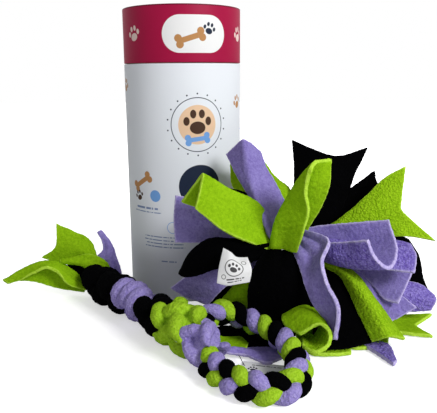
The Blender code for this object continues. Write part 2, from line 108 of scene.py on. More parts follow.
class Graph:
    """A node tree with one method that adds a node to it."""

    def __init__(self, tree: bpy.types.NodeTree) -> None:
        """Keep the tree."""
        self.tree = tree

    def node(self, kind: str, inputs: dict | None = None, output: int | str = 0, **settings: object) -> Wire:
        """Add a node.

        Args:
            kind: The node's type.
            inputs: Numbers, colours, objects or wires by the input's name or place.
            output: The output that is wanted.
            settings: The node's own properties.

        Returns:
            The wanted output.
        """
        made = self.tree.nodes.new(kind)
        for key, value in settings.items():
            setattr(made, key, value)
        for key, value in (inputs or {}).items():
            if isinstance(value, Wire):
                self.tree.links.new(value.socket, made.inputs[key])
            else:
                made.inputs[key].default_value = value
        return Wire(self, made.outputs[output] if made.outputs else None)

    def sum(self, operation: str, *terms: Wire | float) -> Wire:
        """Return one step of arithmetic on wires and numbers."""
        return self.node("ShaderNodeMath", dict(enumerate(terms)), operation=operation)

    def vector(self, operation: str, *terms: Wire | tuple, output: int | str = 0) -> Wire:
        """Return one step of vector arithmetic."""
        return self.node("ShaderNodeVectorMath", dict(enumerate(terms)), output, operation=operation)

    def scaled(self, vector: Wire | tuple, factor: Wire | float) -> Wire:
        """Return a vector times a number."""
        return self.node("ShaderNodeVectorMath", {0: vector, "Scale": factor}, operation="SCALE")

    def mix(self, share: Wire | float, first: Wire | Colour, second: Wire | Colour) -> Wire:
        """Return a colour between two colours."""
        first, second = (part if isinstance(part, Wire) else (*part, 1.0) for part in (first, second))
        return self.node("ShaderNodeMix", {0: share, 6: first, 7: second}, 2, data_type="RGBA")

    def stamp(self, group: bpy.types.NodeTree, *values: Wire | float) -> Wire:
        """Return what a node group makes of its inputs, in their order."""
        return self.node("ShaderNodeGroup", dict(enumerate(values)), node_tree=group)

    def grain(self, place: Wire, scale: float, detail: float = 2.0) -> Wire:
        """Return smooth noise from 0 to 1, with so many bumps a metre."""
        return self.node("ShaderNodeTexNoise", {"Vector": place, "Scale": scale, "Detail": detail})


class Shader(Graph):
    """The nodes of one new material round its Principled shader."""

    def __init__(self, name: str) -> None:
        """Make the material."""
        self.material = bpy.data.materials.new(name)
        self.material.use_nodes = True
        super().__init__(self.material.node_tree)
        self.surface = self.tree.nodes["Principled BSDF"]
        self.place = self.node("ShaderNodeTexCoord", output="Object")

    def dress(self, **inputs: Wire | float | tuple) -> bpy.types.Material:
        """Set the shader's inputs, named with underscores for spaces, and return the material.

        Args:
            inputs: Numbers, colours or wires by the input's name.

        Returns:
            The material.
        """
        for key, value in inputs.items():
            socket = self.surface.inputs[key.replace("_", " ")]
            if isinstance(value, Wire):
                self.tree.links.new(value.socket, socket)
            else:
                socket.default_value = value
        return self.material

    def attribute(self, name: str) -> Wire:
        """Return the number that the mesh holds at each point under a name."""
        return self.node("ShaderNodeAttribute", output="Fac", attribute_name=name)

    def bumped(self, height: Wire) -> Wire:
        """Return the normal of a surface with so many metres of relief."""
        return self.node("ShaderNodeBump", {"Strength": 1.0, "Distance": 1.0, "Height": height})


@dataclass(frozen=True)
class Fleece:
    """Brushed fleece with a smooth face, a curled face and pale fuzzy cut edges, whose paleness is partly a
    painted highlight.
    """

    name: str
    colour: Colour
    deep: Colour
    curl_colour: Colour
    curl_deep: Colour
    # colour of the cut edges: the fleece's own paler fuzz with a painted highlight
    edge: Colour
    pile_pace: float = 1000.0
    tuft_pace: float = 430.0
    blotch_pace: float = 60.0
    wander_pace: float = 260.0
    wander: float = 0.004
    pile_height: float = 0.0003
    tuft_height: float = 0.0005
    curl_height: float = 0.0011
    curl_size: float = 0.0019
    rim_from: float = 0.75
    rim_pace: float = 2.5
    plain_tone: float = 0.62
    edge_highlight_tone: float = 0.6
    curl_tone: float = 0.85
    curl_share: float = 0.95
    curl_pile_share: float = 1.5
    blotch_share: float = 0.7
    pile_share: float = 1.3
    tuft_share: float = 1.5

    def material(self) -> bpy.types.Material:
        """Return the fleece's material, made once.

        Returns:
            The material.
        """
        made = bpy.data.materials.get(self.name + "_finish")
        if made:
            return made
        shader = Shader(self.name + "_finish")
        nap = shader.attribute("nap")
        curled = nap.held()
        rim = ((self.rim_from - abs(nap)) * self.rim_pace).held()
        wander = shader.node("ShaderNodeTexNoise", {"Vector": shader.place, "Scale": self.wander_pace},
                             "Color")
        warped = shader.vector("ADD", shader.place, shader.scaled(wander, self.wander))
        curl = shader.node("ShaderNodeTexVoronoi", {"Vector": warped, "Scale": 1.0 / self.curl_size})
        pile, tufts, blotch = (shader.grain(shader.place, pace)
                               for pace in (self.pile_pace, self.tuft_pace, self.blotch_pace))
        uneven = (blotch - 0.5) * self.blotch_share
        rough_pile = (pile - 0.5) * self.pile_share + (tufts - 0.5) * self.tuft_share
        curly = self.curl_tone - curl * self.curl_share + (pile - 0.5) * self.curl_pile_share + uneven
        plain = shader.mix((self.plain_tone + rough_pile + uneven).held(), self.deep, self.colour)
        knobbly = shader.mix(curly.held(), self.curl_deep, self.curl_colour)
        # where the nap is near 0 the cut edges take the pale edge colour, partly a painted highlight
        pale_edge_and_highlight = shader.mix((self.edge_highlight_tone + rough_pile).held(), self.colour, self.edge)
        colour = shader.mix(rim, shader.mix(curled, plain, knobbly), pale_edge_and_highlight)
        height = tufts * self.tuft_height + pile * self.pile_height + curled * (1.0 - curl) * self.curl_height
        return shader.dress(Base_Color=colour, Roughness=0.95, Specular_IOR_Level=0.01,
                            Normal=shader.bumped(height))


# the last colour of each fleece is its cut-edge colour, partly a painted highlight
LIME = Fleece("fleece_lime", (0.300, 0.545, 0.010), (0.180, 0.370, 0.004), (0.370, 0.625, 0.018),
              (0.215, 0.420, 0.006), (0.54, 0.80, 0.08))
LAVENDER = Fleece("fleece_lavender", (0.300, 0.250, 0.590), (0.180, 0.135, 0.420), (0.350, 0.285, 0.720),
                  (0.135, 0.090, 0.400), (0.590, 0.520, 0.810))
BLACK = Fleece("fleece_black", (0.0011, 0.0011, 0.0014), (0.0004, 0.0004, 0.0005), (0.0016, 0.0016, 0.0020),
               (0.0003, 0.0003, 0.0004), (0.0028, 0.0028, 0.0034))


class Motif(Enum):
    """The flat shapes that the print is made of, with the names of their sizes."""

    OVAL = ("wide", "tall")
    RING = ("radius", "width")
    PILL = ("half", "radius")
    PAW = ("paw_size",)
    BONE = ("bone_size",)
    DASHES = ("half", "thick", "pace")
    BEADS = ("radius", "dot")


class Shapes:
    """Flat shapes as small node groups, each made once, whose mask is 1 inside."""

    soft = 0.00025

    def group(self, motif: Motif) -> bpy.types.NodeTree:
        """Return a motif's group, which takes a place across and up and the motif's sizes.

        Args:
            motif: The motif.

        Returns:
            Its node group.
        """
        label = motif.name.lower()
        made = bpy.data.node_groups.get("shape_" + label)
        if made:
            return made
        tree = bpy.data.node_groups.new("shape_" + label, "ShaderNodeTree")
        for name in ("across", "up", *motif.value):
            tree.interface.new_socket(name, in_out="INPUT", socket_type="NodeSocketFloat")
        tree.interface.new_socket("mask", in_out="OUTPUT", socket_type="NodeSocketFloat")
        given = tree.nodes.new("NodeGroupInput")
        graph = Graph(tree)
        mask = getattr(self, label)(*(Wire(graph, socket) for socket in given.outputs if socket.name))
        graph.node("NodeGroupOutput", {0: mask})
        return tree

    def fill(self, distance: Wire) -> Wire:
        """Return a mask that is 1 where the distance is below zero, with a soft edge."""
        return (0.5 - distance * (1.0 / self.soft)).held()

    def length(self, beside: Wire, above: Wire) -> Wire:
        """Return the length of two sides of a right angle."""
        return beside.graph.sum("SQRT", beside * beside + above * above)

    def joined(self, motif: Motif, across: Wire, up: Wire, size: Wire, parts: Iterable[tuple]) -> Wire:
        """Return one mask of several copies of a motif.

        Args:
            motif: The motif that is copied.
            across: The place across the whole.
            up: The place up the whole.
            size: The size of the whole.
            parts: Each copy's place across and up and its own sizes, as shares of the whole's size.

        Returns:
            The mask of all copies.
        """
        mask = None
        for beside, above, *shares in parts:
            one = size.graph.stamp(self.group(motif), across - size * beside, up - size * above,
                                   *(size * share for share in shares))
            mask = mask.most(one) if mask else one
        return mask

    def oval(self, across: Wire, up: Wire, wide: Wire, tall: Wire) -> Wire:
        """Return the mask of an oval of two half sizes."""
        return self.fill((self.length(across / wide, up / tall) - 1.0) * wide.least(tall))

    def ring(self, across: Wire, up: Wire, radius: Wire, width: Wire) -> Wire:
        """Return the mask of a thin ring of a radius and a width."""
        return self.fill(abs(self.length(across, up) - radius) - width * 0.5)

    def pill(self, across: Wire, up: Wire, half: Wire, radius: Wire) -> Wire:
        """Return the mask of a bar with round ends, of a half length without its ends and a radius."""
        return self.fill(self.length((abs(across) - half).most(0.0), up) - radius)

    def paw(self, across: Wire, up: Wire, size: Wire) -> Wire:
        """Return the mask of a paw print of one size."""
        toes = ((-0.38, 0.02), (-0.15, 0.26), (0.15, 0.26), (0.38, 0.02))
        pads = ((0.0, -0.20, 0.27, 0.21), *((*toe, 0.105, 0.145) for toe in toes))
        return self.joined(Motif.OVAL, across, up, size, pads)

    def bone(self, across: Wire, up: Wire, size: Wire) -> Wire:
        """Return the mask of a bone of one length."""
        knobs = ((beside, above, 0.12, 0.12) for beside in (-0.38, 0.38) for above in (-0.10, 0.10))
        shaft = self.joined(Motif.PILL, across, up, size, ((0.0, 0.0, 0.32, 0.085),))
        return shaft.most(self.joined(Motif.OVAL, across, up, size, knobs))

    def dashes(self, across: Wire, up: Wire, half: Wire, thick: Wire, pace: Wire) -> Wire:
        """Return the mask of a line of plain dashes of uneven length.

        Args:
            across: The place across.
            up: The place up.
            half: Half the line's length.
            thick: Its thickness.
            pace: Breaks a metre.

        Returns:
            The mask.
        """
        graph = half.graph
        breaks = graph.node("ShaderNodeTexNoise", {"W": across * pace, "Scale": 1.0, "Detail": 0.0},
                            noise_dimensions="1D")
        return graph.stamp(self.group(Motif.PILL), across, up, half, thick * 0.5) * (breaks > 0.40)

    def beads(self, across: Wire, up: Wire, radius: Wire, dot: Wire) -> Wire:
        """Return the mask of a ring of eighteen dots of a radius and a dot size.

        Args:
            across: The place across.
            up: The place up.
            radius: The ring's radius.
            dot: A dot's radius.

        Returns:
            The mask.
        """
        graph = radius.graph
        step = FULL_TURN / 18.0
        angle = graph.sum("ARCTAN2", across, up)
        off = angle - graph.sum("ROUND", angle * (1.0 / step)) * step
        size = self.length(across, up)
        return self.fill(self.length(size - radius, size * off) - dot)


SHAPES = Shapes()
INK: Colour = (0.012, 0.012, 0.014)
NAVY: Colour = (0.012, 0.020, 0.045)
COCOA: Colour = (0.060, 0.026, 0.014)
TAN: Colour = (0.48, 0.235, 0.085)
SAND: Colour = (0.80, 0.55, 0.36)
BLUSH: Colour = (0.80, 0.62, 0.58)
CHALK: Colour = (0.84, 0.84, 0.84)
SKY: Colour = (0.17, 0.37, 0.75)
SLATE: Colour = (0.20, 0.27, 0.46)


@dataclass(frozen=True)
class Mark:
    """One plain printed motif: its place in metres across and up its surface, its sizes and its turn."""

    motif: Motif
    across: float
    up: float
    sizes: tuple[float, ...]
    colour: Colour = INK
    turn: float = 0.0

    def moved(self, across: float) -> "Mark":
        """Return the same mark farther across."""
        return replace(self, across=self.across + across)


def printed(shader: Shader, across: Wire, up: Wire, marks: Iterable[Mark], colour: Wire) -> Wire:
    """Return a colour with marks printed over it, one after another.

    Args:
        shader: The material's nodes.
        across: Metres across the surface.
        up: Metres up the surface.
        marks: The marks.
        colour: The bare surface's colour.

    Returns:
        The printed colour.
    """
    for mark in marks:
        beside, above = across - mark.across, up - mark.up
        if mark.turn:
            cosine, sine = math.cos(mark.turn), math.sin(mark.turn)
            beside, above = beside * cosine + above * sine, above * cosine - beside * sine
        mask = shader.stamp(SHAPES.group(mark.motif), beside, above, *mark.sizes)
        colour = shader.mix(mask, colour, mark.colour)
    return colour


BADGE = (
    Mark(Motif.PILL, 0.0, 0.2305, (0.0125, 0.0150), CHALK),
    Mark(Motif.BONE, -0.0040, 0.2275, (0.026,), TAN, 0.30),
    Mark(Motif.PAW, 0.0125, 0.2350, (0.0115,), NAVY, -0.25),
)
LID_MARKS = (
    *(mark.moved(middle) for middle in (0.014, -0.098, 0.112) for mark in BADGE),
    *(Mark(Motif.PAW, middle, 0.2320, (0.0150,), BLUSH, 0.2) for middle in (-0.0430, 0.0640, 0.1560)),
)
RINGED_PAW = (
    Mark(Motif.RING, 0.0, 0.1570, (0.0225, 0.0007), NAVY),
    Mark(Motif.OVAL, 0.0, 0.1570, (0.0165, 0.0165), SAND),
    Mark(Motif.PAW, 0.0, 0.1595, (0.0250,), COCOA),
    Mark(Motif.BONE, 0.0, 0.1450, (0.0220,), SKY, 0.12),
    Mark(Motif.BEADS, 0.0, 0.1570, (0.0258, 0.0007), NAVY),
)
FILLER_LINES = (
    (-0.0340, 0.0840, 0.0120, 0.0018, 420.0),
    (-0.0340, 0.0805, 0.0150, 0.0009, 700.0),
    (-0.0170, 0.0590, 0.0190, 0.0009, 640.0),
    (-0.0170, 0.0560, 0.0200, 0.0009, 560.0),
    (-0.0170, 0.0530, 0.0175, 0.0009, 610.0),
    (-0.0170, 0.0500, 0.0190, 0.0009, 680.0),
    (-0.0120, 0.0370, 0.0070, 0.0010, 480.0),
    (0.1000, 0.1500, 0.0260, 0.0013, 500.0),
    (0.1000, 0.1440, 0.0240, 0.0010, 600.0),
    (0.1000, 0.1400, 0.0250, 0.0010, 560.0),
    (0.1000, 0.1360, 0.0220, 0.0010, 640.0),
    (0.1000, 0.1320, 0.0250, 0.0010, 520.0),
)
LOOSE_PAWS = ((0.0620, 0.1750, 0.3), (0.0850, 0.0950, -0.4), (-0.0640, 0.1900, -0.2), (-0.0950, 0.0900, 0.5),
              (0.1250, 0.0600, 0.1))
BODY_MARKS = (
    *(mark.moved(middle) for middle in (0.015, -0.100) for mark in RINGED_PAW),
    Mark(Motif.OVAL, 0.0165, 0.1045, (0.0185, 0.0185), NAVY),
    Mark(Motif.BONE, -0.0385, 0.1070, (0.0240,), TAN, 0.55),
    Mark(Motif.OVAL, -0.0240, 0.0955, (0.0052, 0.0052), SKY),
    Mark(Motif.PAW, -0.0430, 0.0945, (0.0110,), COCOA, 0.3),
    *(Mark(Motif.DASHES, across, up, sizes, SLATE) for across, up, *sizes in FILLER_LINES),
    Mark(Motif.RING, -0.0080, 0.0680, (0.0050, 0.0005), SKY),
    *(Mark(Motif.PAW, across, up, (0.0140,), TAN, turn) for across, up, turn in LOOSE_PAWS),
)


@dataclass(frozen=True)
class PrintedWrap:
    """Satin printed paper round a tube, whose print lies on the outside and on all above the crown, with
    painted shade in a thin band along the outer top rim.
    """

    name: str
    paper: Colour
    radius: float
    marks: tuple[Mark, ...]
    crown: float = 1.0
    ply: float = 0.0009
    # height under the crown of the band of painted shade
    rim: float = 0.0002
    seam: float = 2.2
    seam_half: float = 0.004
    mottled: float = 0.97
    rim_painted_shade: float = 0.40
    board_dark: Colour = (0.36, 0.26, 0.16)
    board_pale: Colour = (0.60, 0.48, 0.34)
    fibre_height: float = 0.000012
    sag_height: float = 0.00025
    seam_height: float = 0.00006
    roughness: float = 0.46
    fibre_roughness: float = 0.10
    board_roughness: float = 0.35

    def material(self) -> bpy.types.Material:
        """Return the wrap's material.

        Returns:
            The material.
        """
        shader = Shader(self.name)
        x, y, z = (shader.node("ShaderNodeSeparateXYZ", {0: shader.place}, axis) for axis in range(3))
        angle = shader.sum("ARCTAN2", x, y * -1.0)
        mottle = shader.grain(shader.place, 30.0, 3.0)
        paper = shader.mix(mottle, tuple(part * self.mottled for part in self.paper), self.paper)
        colour = printed(shader, angle * self.radius, z, self.marks, paper)
        level = shader.vector("MULTIPLY", shader.place, (1.0, 1.0, 0.0))
        outside = shader.vector("LENGTH", level, output="Value")
        outer = outside > self.radius - self.ply
        # painted shade: the outside darkens in a thin band just under the crown, along the top rim
        rim = outer * (z > self.crown - self.rim)
        colour = shader.mix(rim, colour, tuple(part * self.rim_painted_shade for part in self.paper))
        inner = outer.most(z > self.crown)
        board = shader.mix(shader.grain(shader.place, 700.0), self.board_dark, self.board_pale)
        colour = shader.mix(inner, board, colour)
        overlap = shader.sum("LESS_THAN", abs(angle - self.seam), self.seam_half)
        fibre = shader.grain(shader.place, 900.0)
        sag = shader.grain(shader.place, 22.0, 1.0)
        height = fibre * self.fibre_height + sag * self.sag_height + overlap * self.seam_height
        rough = self.roughness + fibre * self.fibre_roughness + (1.0 - inner) * self.board_roughness
        return shader.dress(Base_Color=colour, Roughness=rough, Specular_IOR_Level=0.16,
                            Normal=shader.bumped(height))


@dataclass(frozen=True)
class Board:
    """Bare kraft board, wound on a slant."""

    name: str = "bare_board"
    dark: Colour = (0.33, 0.23, 0.14)
    pale: Colour = (0.62, 0.49, 0.34)
    fleck_share: float = 0.6
    fibre_share: float = 0.3
    band_share: float = 0.15
    fibre_height: float = 0.00004

    def material(self) -> bpy.types.Material:
        """Return the board's material.

        Returns:
            The material.
        """
        shader = Shader(self.name)
        fibre = shader.grain(shader.vector("MULTIPLY", shader.place, (1.0, 1.0, 0.35)), 900.0, 3.0)
        fleck = shader.grain(shader.place, 260.0, 4.0)
        band = shader.node("ShaderNodeTexWave", {"Vector": shader.place, "Scale": 6.0, "Distortion": 0.6,
                                                "Detail": 1.0}, "Fac", bands_direction="DIAGONAL")
        tone = (fleck * self.fleck_share + fibre * self.fibre_share + band * self.band_share).held()
        colour = shader.mix(tone, self.dark, self.pale)
        return shader.dress(Base_Color=colour, Roughness=0.85,
                            Normal=shader.bumped(fibre * self.fibre_height))


@dataclass(frozen=True)
class WhiteStuff:
    """White ribbon, cord or card with a fine rib or fibre."""

    name: str
    colour: Colour
    roughness: float
    rib: float
    depth: float
    marks: tuple[Mark, ...] = ()
    shade: float = 0.86
    fibre_pace: float = 1400.0
    fibre_share: float = 0.5
    rib_share: float = 0.3
    tone: float = 0.2

    def material(self) -> bpy.types.Material:
        """Return the material.

        Returns:
            The material.
        """
        shader = Shader(self.name)
        rib = shader.node("ShaderNodeTexWave", {"Vector": shader.place, "Scale": self.rib}, "Fac",
                          bands_direction="Z")
        fibre = shader.grain(shader.place, self.fibre_pace)
        tone = (fibre * self.fibre_share + rib * self.rib_share + self.tone).held()
        colour = shader.mix(tone, tuple(part * self.shade for part in self.colour), self.colour)
        if self.marks:
            colour = printed(shader, shader.attribute("across"), shader.attribute("up"), self.marks, colour)
        return shader.dress(Base_Color=colour, Roughness=self.roughness,
                            Normal=shader.bumped(rib * self.depth + fibre * self.depth))


RIBBON = WhiteStuff("tag_ribbon", (0.80, 0.80, 0.81), 0.55, 500.0, 0.00005, (
    Mark(Motif.RING, 0.0108, 0.0125, (0.0063, 0.0006)),
    Mark(Motif.PAW, 0.0108, 0.0125, (0.0092,), turn=-0.2),
    Mark(Motif.RING, 0.0185, 0.0180, (0.0016, 0.0004)),
    Mark(Motif.RING, 0.0042, 0.0052, (0.0014, 0.0004)),
    Mark(Motif.DASHES, 0.0125, 0.0042, (0.0058, 0.0009, 900.0), turn=0.10),
    Mark(Motif.DASHES, 0.0120, 0.0024, (0.0046, 0.0007, 1100.0), turn=0.10)))
CARD = WhiteStuff("tag_card", (0.93, 0.93, 0.94), 0.50, 40.0, 0.00001, (
    Mark(Motif.DASHES, 0.0250, 0.0100, (0.0050, 0.0036, 1500.0)),
    Mark(Motif.PAW, 0.0080, 0.0130, (0.0070,), turn=0.3),
    Mark(Motif.BONE, 0.0085, 0.0060, (0.0110,), turn=-0.2),
    Mark(Motif.DASHES, 0.0170, 0.0180, (0.0100, 0.0009, 800.0))))
TIE = WhiteStuff("tie_cord", (0.80, 0.80, 0.78), 0.80, 260.0, 0.0002)
THREAD = WhiteStuff("black_thread", (0.010, 0.010, 0.012), 0.35, 90.0, 0.00001)


def aim(direction: Pair) -> Vector:
    """Return the unit vector of an azimuth and an elevation in degrees."""
    azimuth, elevation = (math.radians(angle) for angle in direction)
    flat = math.cos(elevation)
    return Vector((math.cos(azimuth) * flat, math.sin(azimuth) * flat, math.sin(elevation)))


def ease(share: float) -> float:
    """Return a smooth step from 0 to 1."""
    held = min(max(share, 0.0), 1.0)
    return held * held * (3.0 - 2.0 * held)


def ripple(*place: float) -> float:
    """Return smooth noise from about -1 to 1 at one, two or three places."""
    return noise.noise(Vector((*place, 0.37, 0.61)[:3]))


def linked(name: str, data: bpy.types.ID) -> bpy.types.Object:
    """Return a new object at the scene's origin."""
    made = bpy.data.objects.new(name, data)
    bpy.context.scene.collection.objects.link(made)
    return made


def finished(mesh: bpy.types.Mesh, material: bpy.types.Material) -> bpy.types.Mesh:
    """Give a mesh one material and smooth shading, and return it.

    Args:
        mesh: The mesh.
        material: The material.

    Returns:
        The same mesh.
    """
    mesh.materials.clear()
    mesh.materials.append(material)
    mesh.shade_smooth()
    return mesh


def shown(name: str, mesh: bpy.types.Mesh, material: bpy.types.Material) -> bpy.types.Object:
    """Link a smooth piece at the origin with its material.

    Args:
        name: The piece's name.
        mesh: Its mesh, with its place in it.
        material: The material of its whole surface.

    Returns:
        The new object.
    """
    return linked(name, finished(mesh, material))


def evaluated(source: bpy.types.Object) -> bpy.types.Mesh:
    """Return an object's shape, with its modifiers, as plain mesh."""
    bpy.context.view_layer.update()
    return bpy.data.meshes.new_from_object(source.evaluated_get(bpy.context.evaluated_depsgraph_get()))


def baked(piece: bpy.types.Object) -> None:
    """Turn a piece's modifiers into its mesh and remove them."""
    mesh = evaluated(piece)
    piece.modifiers.clear()
    piece.data = mesh


def outward(shape: bmesh.types.BMesh, mesh: bpy.types.Mesh) -> bpy.types.Mesh:
    """Fill a mesh with a shape whose faces are turned outwards, free the shape and return the mesh.

    Args:
        shape: The shape.
        mesh: The mesh that is filled.

    Returns:
        The same mesh.
    """
    bmesh.ops.recalc_face_normals(shape, faces=shape.faces)
    shape.to_mesh(mesh)
    shape.free()
    return mesh


def middle_of(node: str) -> Vector:
    """Return the middle of a CAD node's box."""
    low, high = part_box(node)
    return (Vector(low) + Vector(high)) / 2.0


def stand_for(piece: bpy.types.Object, body: str, slot: str, *nodes: str) -> None:
    """Let a piece ride on a body and stand for CAD nodes, which are hidden.

    Args:
        piece: The piece.
        body: The body.
        slot: Not used.
        nodes: The CAD nodes, or none for trim.
    """
    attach(piece, body)
    if nodes:
        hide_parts(*nodes)
    LOG.info("%s: %d faces on %s", piece.name, len(piece.data.polygons), body)


def set_nap(mesh: bpy.types.Mesh, values: np.ndarray | float) -> None:
    """Store how curled the fleece is at each point: 1 curled, -1 flat, 0 cut edge.

    Args:
        mesh: The mesh.
        values: A value for each point, or one for all.
    """
    layer = mesh.attributes.new("nap", "FLOAT", "POINT")
    if isinstance(values, float):
        values = np.full(len(mesh.vertices), values)
    layer.data.foreach_set("value", np.asarray(values, dtype=np.float32))


def roughen(mesh: bpy.types.Mesh, pace: float, height: float, low: float = 0.0004) -> None:
    """Push a mesh's points in and out by smooth noise, and keep them above the floor.

    Args:
        mesh: The mesh.
        pace: Bumps a metre.
        height: How far a point may move.
        low: The lowest height that a point may have.
    """
    count = len(mesh.vertices)
    places, normals = np.zeros(count * 3), np.zeros(count * 3)
    mesh.vertices.foreach_get("co", places)
    mesh.vertex_normals.foreach_get("vector", normals)
    places, normals = places.reshape(-1, 3), normals.reshape(-1, 3)
    steps = np.array([noise.noise(place * pace) + FINE_SHARE * noise.noise(place * (pace * FINE_PACE))
                      for place in map(Vector, places)])
    places += normals * (steps * height)[:, None]
    places[:, 2] = np.maximum(places[:, 2], low)
    mesh.vertices.foreach_set("co", places.ravel())
    mesh.update()


def turned(name: str, profile: list[Pair], segments: int = 160) -> bpy.types.Mesh:
    """Return a mesh of revolution.

    Args:
        name: The mesh's name.
        profile: Closed loop of (radius, height), or an open one that starts and ends on the axis.
        segments: Steps round the axis.

    Returns:
        A closed mesh whose faces point outwards.
    """
    shape = bmesh.new()
    points = [shape.verts.new((radius, 0.0, height)) for radius, height in profile]
    pairs = list(zip(points, points[1:]))
    if profile[0][0] > 0.0:
        pairs.append((points[-1], points[0]))
    edges = [shape.edges.new(pair) for pair in pairs]
    bmesh.ops.spin(shape, geom=points + edges, cent=(0.0, 0.0, 0.0), axis=UP, angle=FULL_TURN, steps=segments,
                   use_merge=True)
    bmesh.ops.remove_doubles(shape, verts=shape.verts, dist=0.00001)
    return outward(shape, bpy.data.meshes.new(name))


def rounded(corners: list[Pair], radius: float, steps: int = 4) -> list[Pair]:
    """Return a closed outline whose corners are rounded off by straight-sided arcs.

    Args:
        corners: The outline's corners.
        radius: How far from a corner its arc starts.
        steps: The arc's sides.

    Returns:
        The outline's points.
    """
    outline = []
    for index, corner in enumerate(corners):
        here = Vector(corner)
        before = Vector(corners[index - 1]) - here
        after = Vector(corners[(index + 1) % len(corners)]) - here
        reach = min(radius, before.length * CORNER_SHARE, after.length * CORNER_SHARE)
        start, end = here + before.normalized() * reach, here + after.normalized() * reach
        for step in range(steps + 1):
            share = step / steps
            point = start.lerp(here, share).lerp(here.lerp(end, share), share)
            outline.append((point.x, point.y))
    return outline


@dataclass
class PaperTube:
    """The printed tube with its liner and its lift-off lid."""

    lip: float = 0.0007
    printed_thickness: float = 0.0022
    neck_thickness: float = 0.0016
    crown_depth: float = 0.0009
    lip_steps: int = 4
    disc_rings: tuple[float, ...] = (0.0, 0.35, 0.70, 0.90)

    def wall(self, name: str, node: str, thickness: float, material: bpy.types.Material, body: str,
             slot: str) -> None:
        """Build one turned wall in place of a CAD node.

        Args:
            name: The piece's name.
            node: The CAD node that it stands for.
            thickness: The wall's thickness.
            material: Its material.
            body: The body that it rides on.
            slot: Its material slot.
        """
        low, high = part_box(node)
        outer, inner = high[0], high[0] - thickness
        corners = [(outer, low[2]), (outer, high[2]), (inner, high[2]), (inner, low[2])]
        piece = shown(name, turned(name, rounded(corners, self.lip)), material)
        stand_for(piece, body, slot, node)

    def disc(self, name: str, node: str, material: bpy.types.Material, body: str, slot: str) -> None:
        """Build one round board with a soft rim in place of a CAD node.

        Args:
            name: The piece's name.
            node: The CAD node that it stands for.
            material: Its material.
            body: The body that it rides on.
            slot: Its material slot.
        """
        low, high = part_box(node)
        radius = high[0]
        profile = [(radius * share, high[2]) for share in self.disc_rings]
        for step in range(self.lip_steps + 1):
            angle = math.pi / 2.0 * step / self.lip_steps
            profile.append((radius - self.lip * (1.0 - math.sin(angle)),
                            high[2] - self.lip * (1.0 - math.cos(angle))))
        profile += [(radius, low[2]), (radius * self.disc_rings[-1], low[2]), (0.0, low[2])]
        stand_for(shown(name, turned(name, profile), material), body, slot, node)

    def build(self) -> None:
        """Build every piece of the tube and the lid."""
        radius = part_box("tube_body")[1][0]
        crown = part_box("lid_disc")[1][2] - self.crown_depth
        white = PrintedWrap("printed_tube", (0.80, 0.83, 0.88), radius, BODY_MARKS).material()
        crimson = PrintedWrap("printed_lid", (0.36, 0.003, 0.048), radius, LID_MARKS, crown).material()
        board = Board().material()
        self.wall("printed_wall", "tube_body", self.printed_thickness, white, "tube", "printed_tube")
        self.wall("board_neck", "neck_liner", self.neck_thickness, board, "tube", "bare_board")
        self.disc("board_base", "base_disc", board, "tube", "bare_board")
        self.wall("lid_skirt", "lid_wall", self.printed_thickness, crimson, "lid", "printed_lid")
        self.disc("lid_board", "lid_disc", crimson, "lid", "printed_lid")


class Face(Enum):
    """Which faces of a strip are curled, as the nap of its front and its back."""

    FRONT = (1.0, -1.0)
    BACK = (-1.0, 1.0)
    NEITHER = (-1.0, -1.0)


@dataclass(frozen=True)
class View:
    """The photograph's camera, through which a place in the picture becomes a place in space."""

    spot: Triple = (0.03176, -0.54406, 0.197)
    pitch: float = math.radians(12.588)
    roll: float = math.radians(-0.371)
    lens: float = 48.19
    sensor: float = 36.0
    wide: float = 437.0
    tall: float = 413.0

    def pose(self) -> Matrix:
        """Return the camera's place and turn."""
        return (Matrix.Translation(self.spot) @ Matrix.Rotation(math.pi / 2.0 - self.pitch, 4, "X")
                @ Matrix.Rotation(self.roll, 4, "Z"))

    def depth(self, point: Vector) -> float:
        """Return how far in front of the camera a point lies."""
        return -(self.pose().inverted() @ point).z

    def place(self, across: float, down: float, depth: float) -> Vector:
        """Return the point that the picture shows at a place, so far in front of the camera."""
        scale = depth * self.sensor / (self.lens * self.wide)
        beside, above = across - self.wide / 2.0, self.tall / 2.0 - down
        return self.pose() @ Vector((beside * scale, above * scale, -depth))


VIEW = View()


@dataclass(frozen=True)
class Strip:
    """One fleece strip, by directions: degrees of azimuth and elevation from the hub that holds it."""

    name: str
    fleece: Fleece
    root: Pair
    tip: Pair
    reach_share: float
    face: Pair
    fold: float = 10.0
    crease: float = 1.0
    width_share: float = 1.0
    curled: Face = Face.BACK
    own_node: bool = True


@dataclass(frozen=True)
class LaidStrip:
    """One fleece strip, by rails from its root to its end, in clockwise order round its hub.

    A rail is a row of places in the picture, each with how many millimetres it is nearer than the hub.
    """

    name: str
    fleece: Fleece
    rails: tuple[tuple[Triple, ...], ...]
    crisp: float = 0.75
    curled: Face = Face.BACK
    bow: float = 0.0
    own_node: bool = True


